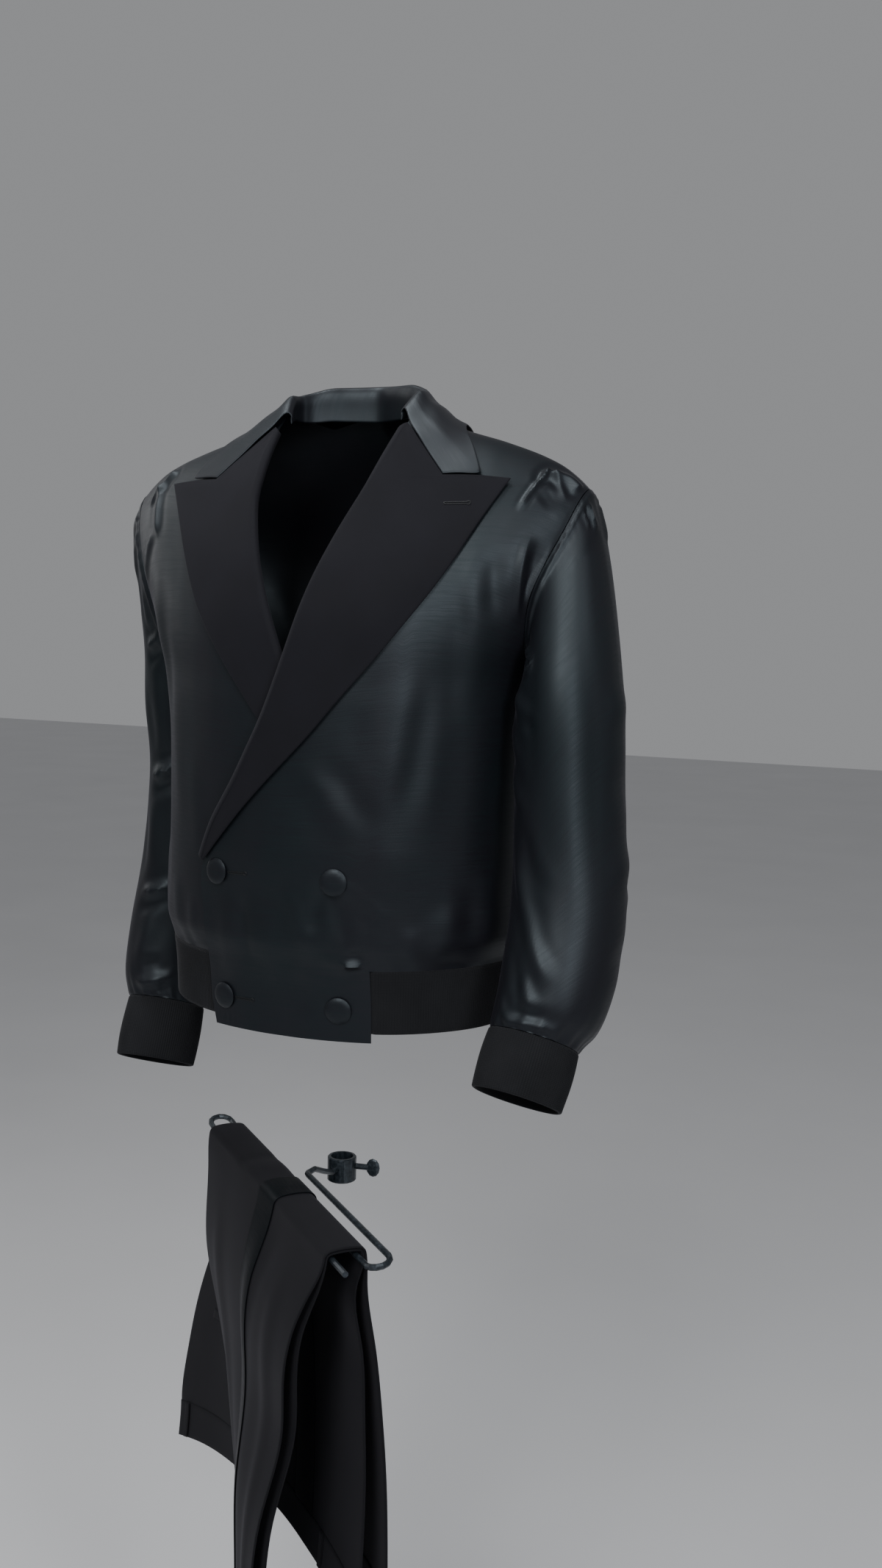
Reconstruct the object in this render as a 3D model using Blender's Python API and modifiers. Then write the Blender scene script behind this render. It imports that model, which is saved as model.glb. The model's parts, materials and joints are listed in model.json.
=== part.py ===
"""Bomber-cut evening jacket and matching trousers on a clamp-on trouser hanger.

Metres, +Z up.  The origin is the centre of the wearer's neck base; the wearer faces -Y
and the wearer's left is +X.  The jacket is hollow and holds the pose in which it is worn.
The trousers are folded lengthwise and hang over the two inner rods of the hanger.
"""
import math

import bmesh
import bpy
import numpy as np
from mathutils import Matrix, Vector

# ---------------------------------------------------------------- driving dimensions
CLOTH = 0.0015            # jacket cloth wall
LAPEL_WALL = 0.0020       # facing and cloth together
COLLAR_WALL = 0.0020
RIB_WALL = 0.0024         # rib-knit wall without the raised ribs
RIB_HEIGHT = 0.0008
RIB_PITCH = 0.0070
SEAM = 0.0004             # clearance between neighbouring pieces

HEM_Z = -0.619            # lowest edge of the buttoned tab
BAND_TOP_Z = -0.547
BAND_LOW_Z = -0.6105
UNDERARM_Z = -0.270
BREAK_Z = -0.452          # where the lapel starts to turn over
TAB_LEFT_X = 0.0925       # tab edge on the wearer's left, where the rib band starts
TAB_RIGHT_X = 0.0780      # the same on the under side, hidden by the upper front
SHOULDER_Z = -0.086
RING_POWER = 2.10         # squareness of the body's cross sections

BUTTON_RADIUS = 0.0130
BUTTON_HEIGHT = 0.0042
BUTTON_X = 0.0625
BUTTON_ROWS_Z = (-0.4615, -0.5880)

BAR_Z = -0.7850           # rod axes of the trouser hanger
BAR_RADIUS = 0.0030
BAR_DIRECTION = (0.7507, -0.6606)    # towards the free end of the rods
ROD_OFFSETS = (0.0590, 0.0800, 0.1040)   # each rod's distance from the stand's axis
ROD_RISE = 0.0065         # the first rod and the far bend lie this much higher
SOCKET_BORE = 0.0240
SOCKET_RADIUS = 0.0155
SOCKET_TOP_Z = -0.7850
SOCKET_HEIGHT = 0.0260
LEG_WALL = 0.0022         # two layers of trouser cloth pressed together
BAND_WALL = 0.0024

# Body sections: height, half width, depth to the front, depth to the back.
BODY_ROWS = (
    # z       half    front   back
    (-0.640, 0.1830, 0.1370, 0.1180),
    (-0.606, 0.1840, 0.1380, 0.1190),
    (-0.575, 0.1850, 0.1400, 0.1200),
    (-0.547, 0.1880, 0.1440, 0.1240),
    (-0.520, 0.1960, 0.1500, 0.1320),
    (-0.480, 0.1940, 0.1510, 0.1290),
    (-0.420, 0.1920, 0.1510, 0.1250),
    (-0.350, 0.1930, 0.1510, 0.1260),
    (-0.300, 0.1960, 0.1500, 0.1310),
    (-0.270, 0.2000, 0.1480, 0.1340),
    (-0.235, 0.2120, 0.1455, 0.1370),
    (-0.200, 0.2260, 0.1420, 0.1380),
    (-0.160, 0.2450, 0.1350, 0.1360),
    (-0.120, 0.2620, 0.1250, 0.1300),
    (-0.086, 0.2750, 0.1150, 0.1220),
    (-0.040, 0.2850, 0.1020, 0.1100),
    (0.020, 0.2900, 0.0900, 0.1000),
)
# Height of the shoulder ridge against the distance from the centre line.
SHOULDER_ROWS = (
    # x      z
    (0.000, 0.0160),
    (0.040, 0.0060),
    (0.070, -0.0040),
    (0.121, -0.0260),
    (0.168, -0.0400),
    (0.219, -0.0600),
    (0.252, -0.0860),
    (0.275, -0.1200),
)
# Armhole edge: height against distance from the centre line.
ARMHOLE_ROWS = (
    # z       x
    (-0.270, 0.2000),
    (-0.252, 0.2030),
    (-0.225, 0.2070),
    (-0.195, 0.2130),
    (-0.160, 0.2260),
    (-0.120, 0.2420),
    (-0.086, 0.2520),
)
# Front edge of the upper front, which lies on top.
EDGE_ROWS = (
    # z       x
    (-0.640, -0.0720),
    (-0.619, -0.0750),
    (-0.589, -0.0810),
    (-0.536, -0.0830),
    (-0.481, -0.0870),
    (-0.452, -0.0840),
    (-0.375, -0.0440),
    (-0.311, -0.0115),
    (-0.243, 0.0125),
    (-0.181, 0.0300),
    (-0.133, 0.0430),
    (-0.088, 0.0560),
    (-0.050, 0.0640),
    (-0.022, 0.0685),
    (0.000, 0.0700),
)
# Front edge of the under front, mirrored.
EDGE_UNDER_ROWS = (
    # z       x
    (-0.640, -0.0720),
    (-0.619, -0.0750),
    (-0.589, -0.0810),
    (-0.536, -0.0830),
    (-0.481, -0.0870),
    (-0.452, -0.0840),
    (-0.375, -0.0540),
    (-0.311, -0.0270),
    (-0.243, 0.0030),
    (-0.181, 0.0310),
    (-0.133, 0.0510),
    (-0.088, 0.0655),
    (-0.050, 0.0690),
    (-0.022, 0.0695),
    (0.000, 0.0700),
)
# Upper lapel: where each row leaves the roll line, and where it ends.
LAPEL_ROWS = (
    # roll_z   edge_x   edge_z
    (-0.4490, -0.0780, -0.4530),
    (-0.4130, -0.0520, -0.4240),
    (-0.3750, -0.0190, -0.3860),
    (-0.3430, 0.0100, -0.3550),
    (-0.3110, 0.0390, -0.3230),
    (-0.2770, 0.0650, -0.2900),
    (-0.2430, 0.0920, -0.2550),
    (-0.2120, 0.1160, -0.2220),
    (-0.1810, 0.1390, -0.1870),
    (-0.1570, 0.1560, -0.1550),
    (-0.1330, 0.1700, -0.1230),
    (-0.1120, 0.1880, -0.0810),
    (-0.0980, 0.1585, -0.0792),
    (-0.0850, 0.1262, -0.0795),
    (-0.0530, 0.0972, -0.0500),
    (-0.0270, 0.0728, -0.0250),
)
# Under lapel, mirrored: the same collar end and peak, but a slimmer flap below.
LAPEL_UNDER_ROWS = (
    # roll_z   edge_x   edge_z
    (-0.4490, -0.0790, -0.4530),
    (-0.4130, -0.0680, -0.4200),
    (-0.3750, -0.0380, -0.3830),
    (-0.3430, -0.0120, -0.3520),
    (-0.3110, 0.0140, -0.3190),
    (-0.2770, 0.0410, -0.2860),
    (-0.2430, 0.0680, -0.2540),
    (-0.2120, 0.0930, -0.2230),
    (-0.1810, 0.1140, -0.1920),
    (-0.1570, 0.1350, -0.1560),
    (-0.1330, 0.1560, -0.1230),
    (-0.1120, 0.1880, -0.0810),
    (-0.0980, 0.1585, -0.0792),
    (-0.0850, 0.1262, -0.0795),
    (-0.0530, 0.0972, -0.0500),
    (-0.0270, 0.0728, -0.0250),
)
# Collar, front end to centre back: where it leaves the neckline, where its turned edge
# lies on the body, on which side of the shoulder, and how far the roll stands up.
COLLAR_ROWS = (
    # neck_x  neck_z   edge_x  edge_z   back  roll    foot
    (0.0650, -0.0150, 0.1250, -0.0772, 0.0, 0.0060, 0.0030),
    (0.0675, -0.0105, 0.1595, -0.0752, 0.0, 0.0090, 0.0050),
    (0.0695, -0.0070, 0.1440, -0.0500, 0.0, 0.0120, 0.0065),
    (0.0710, -0.0046, 0.1230, -0.0272, 0.0, 0.0150, 0.0080),
    (0.0710, -0.0046, 0.1200, -0.0262, 1.0, 0.0160, 0.0080),
    (0.0630, -0.0040, 0.1010, -0.0340, 1.0, 0.0200, 0.0080),
    (0.0400, -0.0015, 0.0680, -0.0300, 1.0, 0.0240, 0.0080),
    (0.0000, -0.0015, 0.0000, -0.0320, 1.0, 0.0260, 0.0080),
)
# Sleeve sections below the armhole: centre and the two half widths.
SLEEVE_LEFT_ROWS = (
    # x       y        z       across  along
    (0.2510, -0.0310, -0.300, 0.0520, 0.0560),
    (0.2540, -0.0340, -0.360, 0.0525, 0.0560),
    (0.2580, -0.0390, -0.420, 0.0535, 0.0560),
    (0.2620, -0.0480, -0.480, 0.0550, 0.0570),
    (0.2620, -0.0620, -0.530, 0.0550, 0.0570),
    (0.2570, -0.0800, -0.573, 0.0515, 0.0530),
    (0.2500, -0.0940, -0.598, 0.0440, 0.0450),
)
SLEEVE_RIGHT_ROWS = (
    # x        y       z       across  along
    (-0.2360, 0.0500, -0.300, 0.0410, 0.0520),
    (-0.2350, 0.0600, -0.370, 0.0420, 0.0530),
    (-0.2370, 0.0630, -0.440, 0.0450, 0.0550),
    (-0.2420, 0.0610, -0.510, 0.0480, 0.0560),
    (-0.2480, 0.0520, -0.568, 0.0490, 0.0550),
    (-0.2500, 0.0400, -0.615, 0.0470, 0.0520),
    (-0.2450, 0.0290, -0.648, 0.0425, 0.0445),
)
# Cuffs: centre of the upper and the lower end, and their radii.
CUFF_LEFT = ((0.2490, -0.0965, -0.6025), (0.2430, -0.1220, -0.6530), 0.0430, 0.0425)
CUFF_RIGHT = ((-0.2430, 0.0270, -0.6540), (-0.2410, 0.0020, -0.7150), 0.0420, 0.0425)

# Folded trousers, outer layer: the near and the far edge at each height.  The columns are
# distances along the rods (u) and across them from the stand's axis (p).
LEG_ROWS = (
    # z       near_u  near_p  far_u    far_p   belly
    (-1.400, 0.1850, 0.1560, -0.0330, 0.1000, 0.006),
    (-1.280, 0.1880, 0.1540, -0.0310, 0.1000, 0.007),
    (-1.150, 0.1950, 0.1520, -0.0340, 0.1005, 0.008),
    (-1.050, 0.2050, 0.1470, -0.0640, 0.1050, 0.009),
    (-0.960, 0.2200, 0.1320, -0.0960, 0.1130, 0.008),
    (-0.900, 0.2300, 0.1350, -0.1040, 0.1210, 0.005),
    (-0.850, 0.2400, 0.1340, -0.1100, 0.1180, 0.003),
    (-0.815, 0.2450, 0.1240, -0.1140, 0.1150, 0.001),
)
SEAT_ROWS = (
    # z       near_u  near_p  far_u    far_p   belly   (near edge is the fly, far the seat)
    (-0.8137, 0.2490, 0.0690, -0.1180, 0.0690, 0.000),
    (-0.8670, 0.2540, 0.0625, -0.1420, 0.0730, 0.004),
    (-0.9247, 0.2580, 0.0565, -0.1750, 0.0790, 0.010),
    (-0.9925, 0.2600, 0.0515, -0.2080, 0.0880, 0.014),
    (-1.0599, 0.2580, 0.0480, -0.2280, 0.0950, 0.015),
    (-1.1126, 0.2550, 0.0460, -0.2330, 0.1000, 0.014),
    (-1.1131, 0.2550, 0.0460, -0.2330, 0.1000, 0.014),
    (-1.1521, 0.2520, 0.0450, -0.2320, 0.1030, 0.012),
)
TOP_NEAR_U = 0.2500
TOP_FAR_U = -0.1160
WAIST_DROP = 0.0450       # the seat end of the waist hangs this much lower than the fly
DROP_POWER = 4.0          # how late along the waist that drop comes
INNER_LAYER = 0.0075      # the second leg lies this far inside the outer one
TOP_LAYER = 0.0026        # the same where both lie pressed over the rods
TOP_REACH = 0.0094        # outer layer's outer side from the rods' axes
WAIST_GAP = 0.0200        # the waist stands open by this much at the fly
STRIPE_U = 0.0900
STRIPE_WIDTH = 0.0460

COLLECTION = "bomber_jacket_suit"


# ---------------------------------------------------------------- scene helpers
def clear_scene():
    """Remove every object of the open file."""
    for item in list(bpy.data.objects):
        bpy.data.objects.remove(item, do_unlink=True)


def part_collection():
    """Return the collection that holds the part."""
    found = bpy.data.collections.get(COLLECTION)
    if found is None:
        found = bpy.data.collections.new(COLLECTION)
        bpy.context.scene.collection.children.link(found)
    return found


def material(name, color, roughness, metallic=0.0, sheen=0.0):
    """Make a Principled material."""
    made = bpy.data.materials.new(name)
    made.use_nodes = True
    shader = made.node_tree.nodes["Principled BSDF"]
    shader.inputs["Base Color"].default_value = (*color, 1.0)
    shader.inputs["Roughness"].default_value = roughness
    shader.inputs["Metallic"].default_value = metallic
    shader.inputs["Sheen Weight"].default_value = sheen
    made.diffuse_color = (*color, 1.0)
    return made


def satin():
    return material("satin_cloth", (0.016, 0.024, 0.028), 0.32, sheen=0.3)


def facing_cloth():
    return material("facing_cloth", (0.022, 0.020, 0.021), 0.85, sheen=0.3)


def rib_knit():
    return material("rib_knit", (0.020, 0.020, 0.022), 0.90, sheen=0.2)


def suiting():
    return material("trouser_cloth", (0.016, 0.016, 0.017), 0.80, sheen=0.3)


def steel():
    return material("dark_steel", (0.030, 0.038, 0.046), 0.38, metallic=0.7)


def finish(name, mesh, look, angle=math.radians(40)):
    """Link a mesh as a named object with its material and smooth shading."""
    mesh.name = name
    mesh.shade_smooth()
    mesh.set_sharp_from_angle(angle=angle)
    item = bpy.data.objects.new(name, mesh)
    item.data.materials.append(look)
    part_collection().objects.link(item)
    return item


# ---------------------------------------------------------------- curves through tables
def smooth_rows(rows, at):
    """Read every column of a table at the given keys with a smooth cubic."""
    table = np.array(rows, dtype=float)
    order = np.argsort(table[:, 0])
    key, value = table[order, 0], table[order, 1:]
    step = np.diff(key)[:, None]
    secant = np.diff(value, axis=0) / step
    slope = np.empty_like(value)
    slope[0], slope[-1] = secant[0], secant[-1]
    product = secant[:-1] * secant[1:]
    total = secant[:-1] + secant[1:]
    safe = np.where(np.abs(total) < 1e-12, 1.0, total)
    slope[1:-1] = np.where(product > 0, 2 * product / safe, 0.0)
    at = np.clip(np.atleast_1d(np.asarray(at, dtype=float)), key[0], key[-1])
    index = np.clip(np.searchsorted(key, at, side="right") - 1, 0, len(key) - 2)
    width = (key[index + 1] - key[index])[:, None]
    t = ((at - key[index]) / (key[index + 1] - key[index]))[:, None]
    return ((2 * t**3 - 3 * t**2 + 1) * value[index] + (t**3 - 2 * t**2 + t) * width * slope[index]
            + (-2 * t**3 + 3 * t**2) * value[index + 1] + (t**3 - t**2) * width * slope[index + 1])


def resample(rows, count):
    """Sample a table's rows evenly by their index, all columns smoothed."""
    table = np.array(rows, dtype=float)
    keyed = np.column_stack([np.arange(len(table)), table])
    return smooth_rows(keyed, np.linspace(0, len(table) - 1, count))


def smoothstep(low, high, value):
    t = np.clip((value - low) / (high - low), 0.0, 1.0)
    return t * t * (3 - 2 * t)


# ---------------------------------------------------------------- body surface
def shoulder_height(x):
    return smooth_rows(SHOULDER_ROWS, abs(x))[0, 0]


def body_point(angle, z, back):
    """Point of the body surface: angle 0 at the centre line, 90 degrees at the side."""
    half, front_depth, back_depth = smooth_rows(BODY_ROWS, z)[0]
    power = 2.0 / RING_POWER
    sine, cosine = math.sin(angle), math.cos(angle)
    x = half * math.copysign(abs(sine)**power, sine)
    ridge = shoulder_height(x)
    rise = min(max((z - UNDERARM_Z) / (ridge - UNDERARM_Z), 0.0), 1.0)
    if back:
        taper = math.sqrt(1.0 - rise**5.0)
        return Vector((x, back_depth * abs(cosine)**power * taper, z))
    taper = (1.0 - rise**2.2)**0.6
    return Vector((x, -front_depth * abs(cosine)**power * taper, z))


def body_angle(x, z):
    """Angle of the body surface at a given distance from the centre line."""
    half = smooth_rows(BODY_ROWS, z)[0, 0]
    share = min(abs(x) / half, 1.0)**(RING_POWER / 2.0)
    return math.copysign(math.asin(share), x)


def body_normal(angle, z, back):
    """Outward normal of the body surface."""
    da, dz = 0.004, 0.0008
    limit = math.pi / 2 - 0.006
    angle = min(max(angle, -limit), limit)
    ridge = shoulder_height(body_point(angle, z, back).x)
    top = min(z + dz, ridge - 1e-5)
    across = body_point(angle + da, z, back) - body_point(angle - da, z, back)
    upward = body_point(angle, top, back) - body_point(angle, top - 2 * dz, back)
    normal = across.cross(upward)
    if back:
        normal = -normal
    if normal.length < 1e-12:
        return Vector((0, 0, 1))
    return normal.normalized()


def on_body(x, z, back=False, lift=0.0):
    """Point on the body surface at (x, z), moved out along the normal."""
    z = min(z, shoulder_height(x) - 2e-4)
    angle = body_angle(x, z)
    return body_point(angle, z, back) + lift * body_normal(angle, z, back)


def overlap_lift(x, z):
    """How far the upper front lies outside the under one, both in the wearer's sense."""
    height = 0.0036 + 0.0060 * float(smoothstep(-0.50, -0.43, z))
    sideways = 1.0 - float(smoothstep(0.095, 0.165, x))
    upward = 1.0 - float(smoothstep(-0.22, -0.10, z))
    return height * sideways * upward


# ---------------------------------------------------------------- walls from grids
def grid_normals(points, closed=False):
    """Unit normals of a grid of points, rows by columns."""
    down = np.gradient(points, axis=0)
    if closed:
        across = (np.roll(points, -1, axis=1) - np.roll(points, 1, axis=1)) / 2
    else:
        across = np.gradient(points, axis=1)
    normal = np.cross(across, down)
    length = np.linalg.norm(normal, axis=2, keepdims=True)
    return normal / np.where(length < 1e-12, 1.0, length)


def wall_mesh(name, outer, inner, keep=None, closed=False):
    """Closed wall between two grids of points, with its rims."""
    rows, columns = outer.shape[:2]
    spans = columns if closed else columns - 1
    if keep is None:
        keep = np.ones((rows - 1, spans), dtype=bool)
    built = bmesh.new()
    made = {}

    def vertex(layer, row, column):
        key = (layer, row, column % columns)
        if key not in made:
            source = outer if layer == 0 else inner
            made[key] = built.verts.new(source[row, column % columns])
        return made[key]

    def kept(row, column):
        if closed:
            column %= spans
        return 0 <= row < rows - 1 and 0 <= column < spans and keep[row, column]

    for row in range(rows - 1):
        for column in range(spans):
            if not kept(row, column):
                continue
            corners = ((row, column), (row, column + 1), (row + 1, column + 1), (row + 1, column))
            built.faces.new([vertex(0, *corner) for corner in corners])
            built.faces.new([vertex(1, *corner) for corner in reversed(corners)])
            sides = ((corners[0], corners[1], (row - 1, column)),
                     (corners[1], corners[2], (row, column + 1)),
                     (corners[2], corners[3], (row + 1, column)),
                     (corners[3], corners[0], (row, column - 1)))
            for first, second, beyond in sides:
                if not kept(*beyond):
                    built.faces.new([vertex(0, *second), vertex(0, *first),
                                     vertex(1, *first), vertex(1, *second)])
    bmesh.ops.triangulate(built, faces=list(built.faces))
    bmesh.ops.recalc_face_normals(built, faces=list(built.faces))
    mesh = bpy.data.meshes.new(name)
    built.to_mesh(mesh)
    built.free()
    return mesh


def mirror_x(points):
    turned = points.copy()
    turned[..., 0] *= -1.0
    return turned


# ---------------------------------------------------------------- jacket panels
FRONT_SHARES = (0.14, 0.28, 0.42, 0.55, 0.67, 0.78, 0.88, 0.95, 1.0)
BACK_SHARES = (0.15, 0.30, 0.45, 0.60, 0.74, 0.86, 0.94, 0.98, 1.0)


def front_heights():
    """Row heights below the underarm, and row fractions above it, of a front panel."""
    low = (HEM_Z, -0.595, -0.570, BAND_TOP_Z, -0.530, -0.510, -0.480, -0.440, -0.400, -0.360,
           -0.320, -0.290, UNDERARM_Z)
    return low, FRONT_SHARES


def solve_height(share, x):
    return UNDERARM_Z + share * (shoulder_height(x) - UNDERARM_Z)


def front_panel(name, left, look):
    """A front with its tab; the left one lies on top and is lifted over the right one."""
    split = TAB_LEFT_X - SEAM if left else TAB_RIGHT_X - SEAM
    edge_rows = EDGE_ROWS if left else EDGE_UNDER_ROWS
    inner_columns, outer_columns = 8, 6
    low, high = front_heights()
    outer, inner = [], []
    for share in list(low) + [("high", value) for value in high]:
        ring_outer, ring_inner = [], []
        for column in range(inner_columns + outer_columns + 1):
            z = share if not isinstance(share, tuple) else solve_height(share[1], 0.15)
            for _ in range(8):
                edge = smooth_rows(edge_rows, z)[0, 0] + 0.0034 * float(z > BREAK_Z)
                if z <= UNDERARM_Z:
                    side_angle = math.pi / 2
                else:
                    rim = smooth_rows(ARMHOLE_ROWS, z)[0, 0] - SEAM
                    side_angle = body_angle(rim, z)
                middle = split + 0.034 * float(smoothstep(-0.50, -0.27, z))
                angle_edge, angle_split = body_angle(edge, z), body_angle(middle, z)
                if z > UNDERARM_Z:
                    blend = float(smoothstep(UNDERARM_Z, -0.06, z))
                    angle_half = (angle_edge + side_angle) / 2
                    angle_split = angle_split * (1 - blend) + angle_half * blend
                if column <= inner_columns:
                    angle = angle_edge + (angle_split - angle_edge) * column / inner_columns
                else:
                    step = (column - inner_columns) / outer_columns
                    angle = angle_split + (side_angle - angle_split) * step
                if not isinstance(share, tuple):
                    break
                x = body_point(angle, z, False).x
                z = solve_height(share[1], x)
            point, normal = body_point(angle, z, False), body_normal(angle, z, False)
            if share == BAND_TOP_Z:
                normal.z = 0.0
                normal.normalize()
            if isinstance(share, tuple) and share[1] == 1.0:
                point.y = -SEAM / 2
                normal.y = 0.0
                normal.normalize()
            if column == inner_columns + outer_columns and z <= UNDERARM_Z:
                point.y = -SEAM / 2
                normal.y = 0.0
                normal.normalize()
            lift = overlap_lift(point.x, z) if left else 0.0
            top = point + normal * lift
            ring_outer.append(top)
            ring_inner.append(top - normal * CLOTH)
        outer.append(ring_outer)
        inner.append(ring_inner)
    outer, inner = np.array(outer), np.array(inner)
    keep = np.ones((outer.shape[0] - 1, outer.shape[1] - 1), dtype=bool)
    keep[:3, inner_columns:] = False
    if not left:
        outer, inner = mirror_x(outer), mirror_x(inner)
    return finish(name, wall_mesh(name, outer, inner, keep), look)


def back_panel(look):
    """The back, from side seam to side seam and up to the shoulders and the neck."""
    columns = 18
    low = (BAND_TOP_Z, -0.530, -0.510, -0.480, -0.440, -0.400, -0.360, -0.320, -0.290,
           UNDERARM_Z)
    high = BACK_SHARES
    outer, inner = [], []
    for share in list(low) + [("high", value) for value in high]:
        ring_outer, ring_inner = [], []
        for column in range(columns + 1):
            across = 2.0 * column / columns - 1.0
            z = share if not isinstance(share, tuple) else solve_height(share[1], 0.15)
            for _ in range(8):
                if z <= UNDERARM_Z:
                    angle = across * math.pi / 2
                else:
                    rim = smooth_rows(ARMHOLE_ROWS, z)[0, 0] - SEAM
                    angle = across * body_angle(rim, z)
                if not isinstance(share, tuple):
                    break
                x = body_point(angle, z, True).x
                neck = 1.0 - float(smoothstep(0.050, 0.078, abs(x)))
                z = solve_height(share[1] * (1.0 - 0.060 * neck), x)
            point, normal = body_point(angle, z, True), body_normal(angle, z, True)
            if share == low[0]:
                normal.z = 0.0
                normal.normalize()
            seam_row = isinstance(share, tuple) and share[1] == 1.0 and abs(point.x) > 0.0775
            if seam_row or (column in (0, columns) and z <= UNDERARM_Z):
                point.y = SEAM / 2
                normal.y = 0.0
                normal.normalize()
            ring_outer.append(point)
            ring_inner.append(point - normal * CLOTH)
        outer.append(ring_outer)
        inner.append(ring_inner)
    return finish("back", wall_mesh("back", np.array(outer), np.array(inner)), look)


def lapel(name, left, look):
    """Turned-over lapel: a short return inside, a soft roll, and the flap on the front."""
    rows = np.array(LAPEL_ROWS if left else LAPEL_UNDER_ROWS)
    roll_x = smooth_rows(EDGE_ROWS if left else EDGE_UNDER_ROWS, rows[:, 0])[:, 0]
    flap = (0.0, 0.07, 0.20, 0.40, 0.60, 0.80, 1.0)
    half = LAPEL_WALL / 2
    outer, inner = [], []
    for index, (roll_z, edge_x, edge_z) in enumerate(rows):
        start = np.array((roll_x[index], roll_z))
        end = np.array((edge_x, edge_z))
        length = float(np.linalg.norm(end - start))
        heading = (end - start) / max(length, 1e-6)
        puff = 0.0022 * min(length / 0.05, 1.0) if not left else 0.0030 * min(length / 0.05, 1.0)
        if not left:
            puff *= 0.35
        base = LAPEL_WALL / 2 + (0.0020 if left else 0.0016)
        back_side = -(CLOTH + 0.0015 + half)
        middle = (base + back_side) / 2
        # (distance from the roll edge, height of the wall's middle over the front's surface,
        #  direction of the wall's outer side in that section)
        section = [(0.007, back_side, (0.0, -1.0)),
                   (0.003, back_side, (0.0, -1.0)),
                   (-0.0012, middle - 0.0006, (-0.80, -0.60)),
                   (-0.0014, middle + 0.0010, (-0.80, 0.60)),
                   (0.0030, base + puff * 0.8, (-0.15, 0.99))]
        for share in flap[1:]:
            away = max(share * length, 0.0045 + 0.0006 * share)
            rise = base + puff * (1 - share)**1.5
            section.append((away, rise, (0.0, 1.0)))
        ring_outer, ring_inner = [], []
        for away, rise, (side, upward) in section:
            spot = start + heading * away
            x, z = float(spot[0]), float(spot[1])
            z_safe = min(z, shoulder_height(x) - 2e-4)
            angle = body_angle(x, z_safe)
            point, normal = body_point(angle, z_safe, False), body_normal(angle, z_safe, False)
            ahead = on_body(x + 0.002 * heading[0], z_safe + 0.002 * heading[1])
            along = (ahead - point)
            along = (along - normal * along.dot(normal)).normalized()
            lift = overlap_lift(x, z_safe) if left else 0.0
            centre = point + normal * (lift + rise)
            outward = (along * side + normal * upward).normalized()
            ring_outer.append(centre + outward * half)
            ring_inner.append(centre - outward * half)
        outer.append(ring_outer)
        inner.append(ring_inner)
    outer, inner = np.array(outer), np.array(inner)
    if not left:
        outer, inner = mirror_x(outer), mirror_x(inner)
    return finish(name, wall_mesh(name, outer, inner), look)


def collar_section(row):
    """One section of the collar from its foot over the roll to the turned edge."""
    neck_x, neck_z, edge_x, edge_z, back, roll, foot = (float(value) for value in row)
    behind = back > 0.5
    neck_z = min(neck_z, shoulder_height(neck_x) - 3e-4)
    angle = body_angle(neck_x, neck_z)
    neck = body_point(angle, neck_z, behind)
    inward = Vector((-neck.x, -neck.y - 0.004, 0.0)).normalized()
    section = [neck + inward * 0.0030 - Vector((0, 0, foot)),
               neck + inward * 0.0030 + Vector((0, 0, 0.35 * roll)),
               neck + inward * 0.0026 + Vector((0, 0, 0.85 * roll)),
               neck + Vector((0, 0, roll + 0.0016))]
    for share in (0.16, 0.36, 0.58, 0.80, 1.0):
        x = neck_x + (edge_x - neck_x) * share
        z = neck_z + (edge_z - neck_z) * share
        z = min(z, shoulder_height(x) - 3e-4)
        angle = body_angle(x, z)
        point, normal = body_point(angle, z, behind), body_normal(angle, z, behind)
        lean = min(share * 2.2, 1.0)
        way = (Vector((0, 0, 1)) * (1 - lean) + normal * lean).normalized()
        lift = 0.0042 + (roll - 0.0030) * (1 - share)**1.7
        section.append(point + way * lift)
    return section


def collar(look):
    """Collar: an inner stand, the roll round the neck, and the fall over the shoulders."""
    before = resample(COLLAR_ROWS[:4], 8)
    after = resample(COLLAR_ROWS[4:], 8)
    side = [collar_section(row) for row in before] + [collar_section(row) for row in after]
    other = [[Vector((-p.x, p.y, p.z)) for p in section] for section in side[-2::-1]]
    middle = np.array([[tuple(p) for p in section] for section in side + other])
    normal = grid_normals(middle)
    half = COLLAR_WALL / 2
    return finish("collar", wall_mesh("collar", middle + normal * half, middle - normal * half),
                  look)


def armhole_loop(left):
    """Closed armhole curve with the body's normals, from the shoulder round the front."""
    front = [1.0] + list(reversed(FRONT_SHARES[:-1])) + [0.0]
    behind = [0.0] + list(BACK_SHARES[:-1])
    loop = []
    for index, share in enumerate(front + behind[1:]):
        back = index >= len(front)
        z = SHOULDER_Z + (UNDERARM_Z - SHOULDER_Z) * (1 - share)
        for _ in range(12):
            x = smooth_rows(ARMHOLE_ROWS, z)[0, 0]
            z = solve_height(share, x)
        z_safe = min(z, shoulder_height(x) - 1e-6)
        angle = body_angle(x, z_safe)
        point = body_point(angle, z_safe, back)
        normal = body_normal(angle, z_safe, back)
        if share in (0.0, 1.0):
            point.y = 0.0
            normal.y = 0.0
            normal.normalize()
        if not left:
            point.x *= -1.0
            normal.x *= -1.0
        loop.append((point, normal))
    return loop


def section_frame(tangent, side):
    """Two unit vectors across a tube, the first towards the wearer's outer side."""
    outer_way = Vector((side, 0, 0))
    outer_way = (outer_way - tangent * outer_way.dot(tangent)).normalized()
    forward = tangent.cross(outer_way)
    if forward.y > 0:
        forward = -forward
    return outer_way, forward


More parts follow.
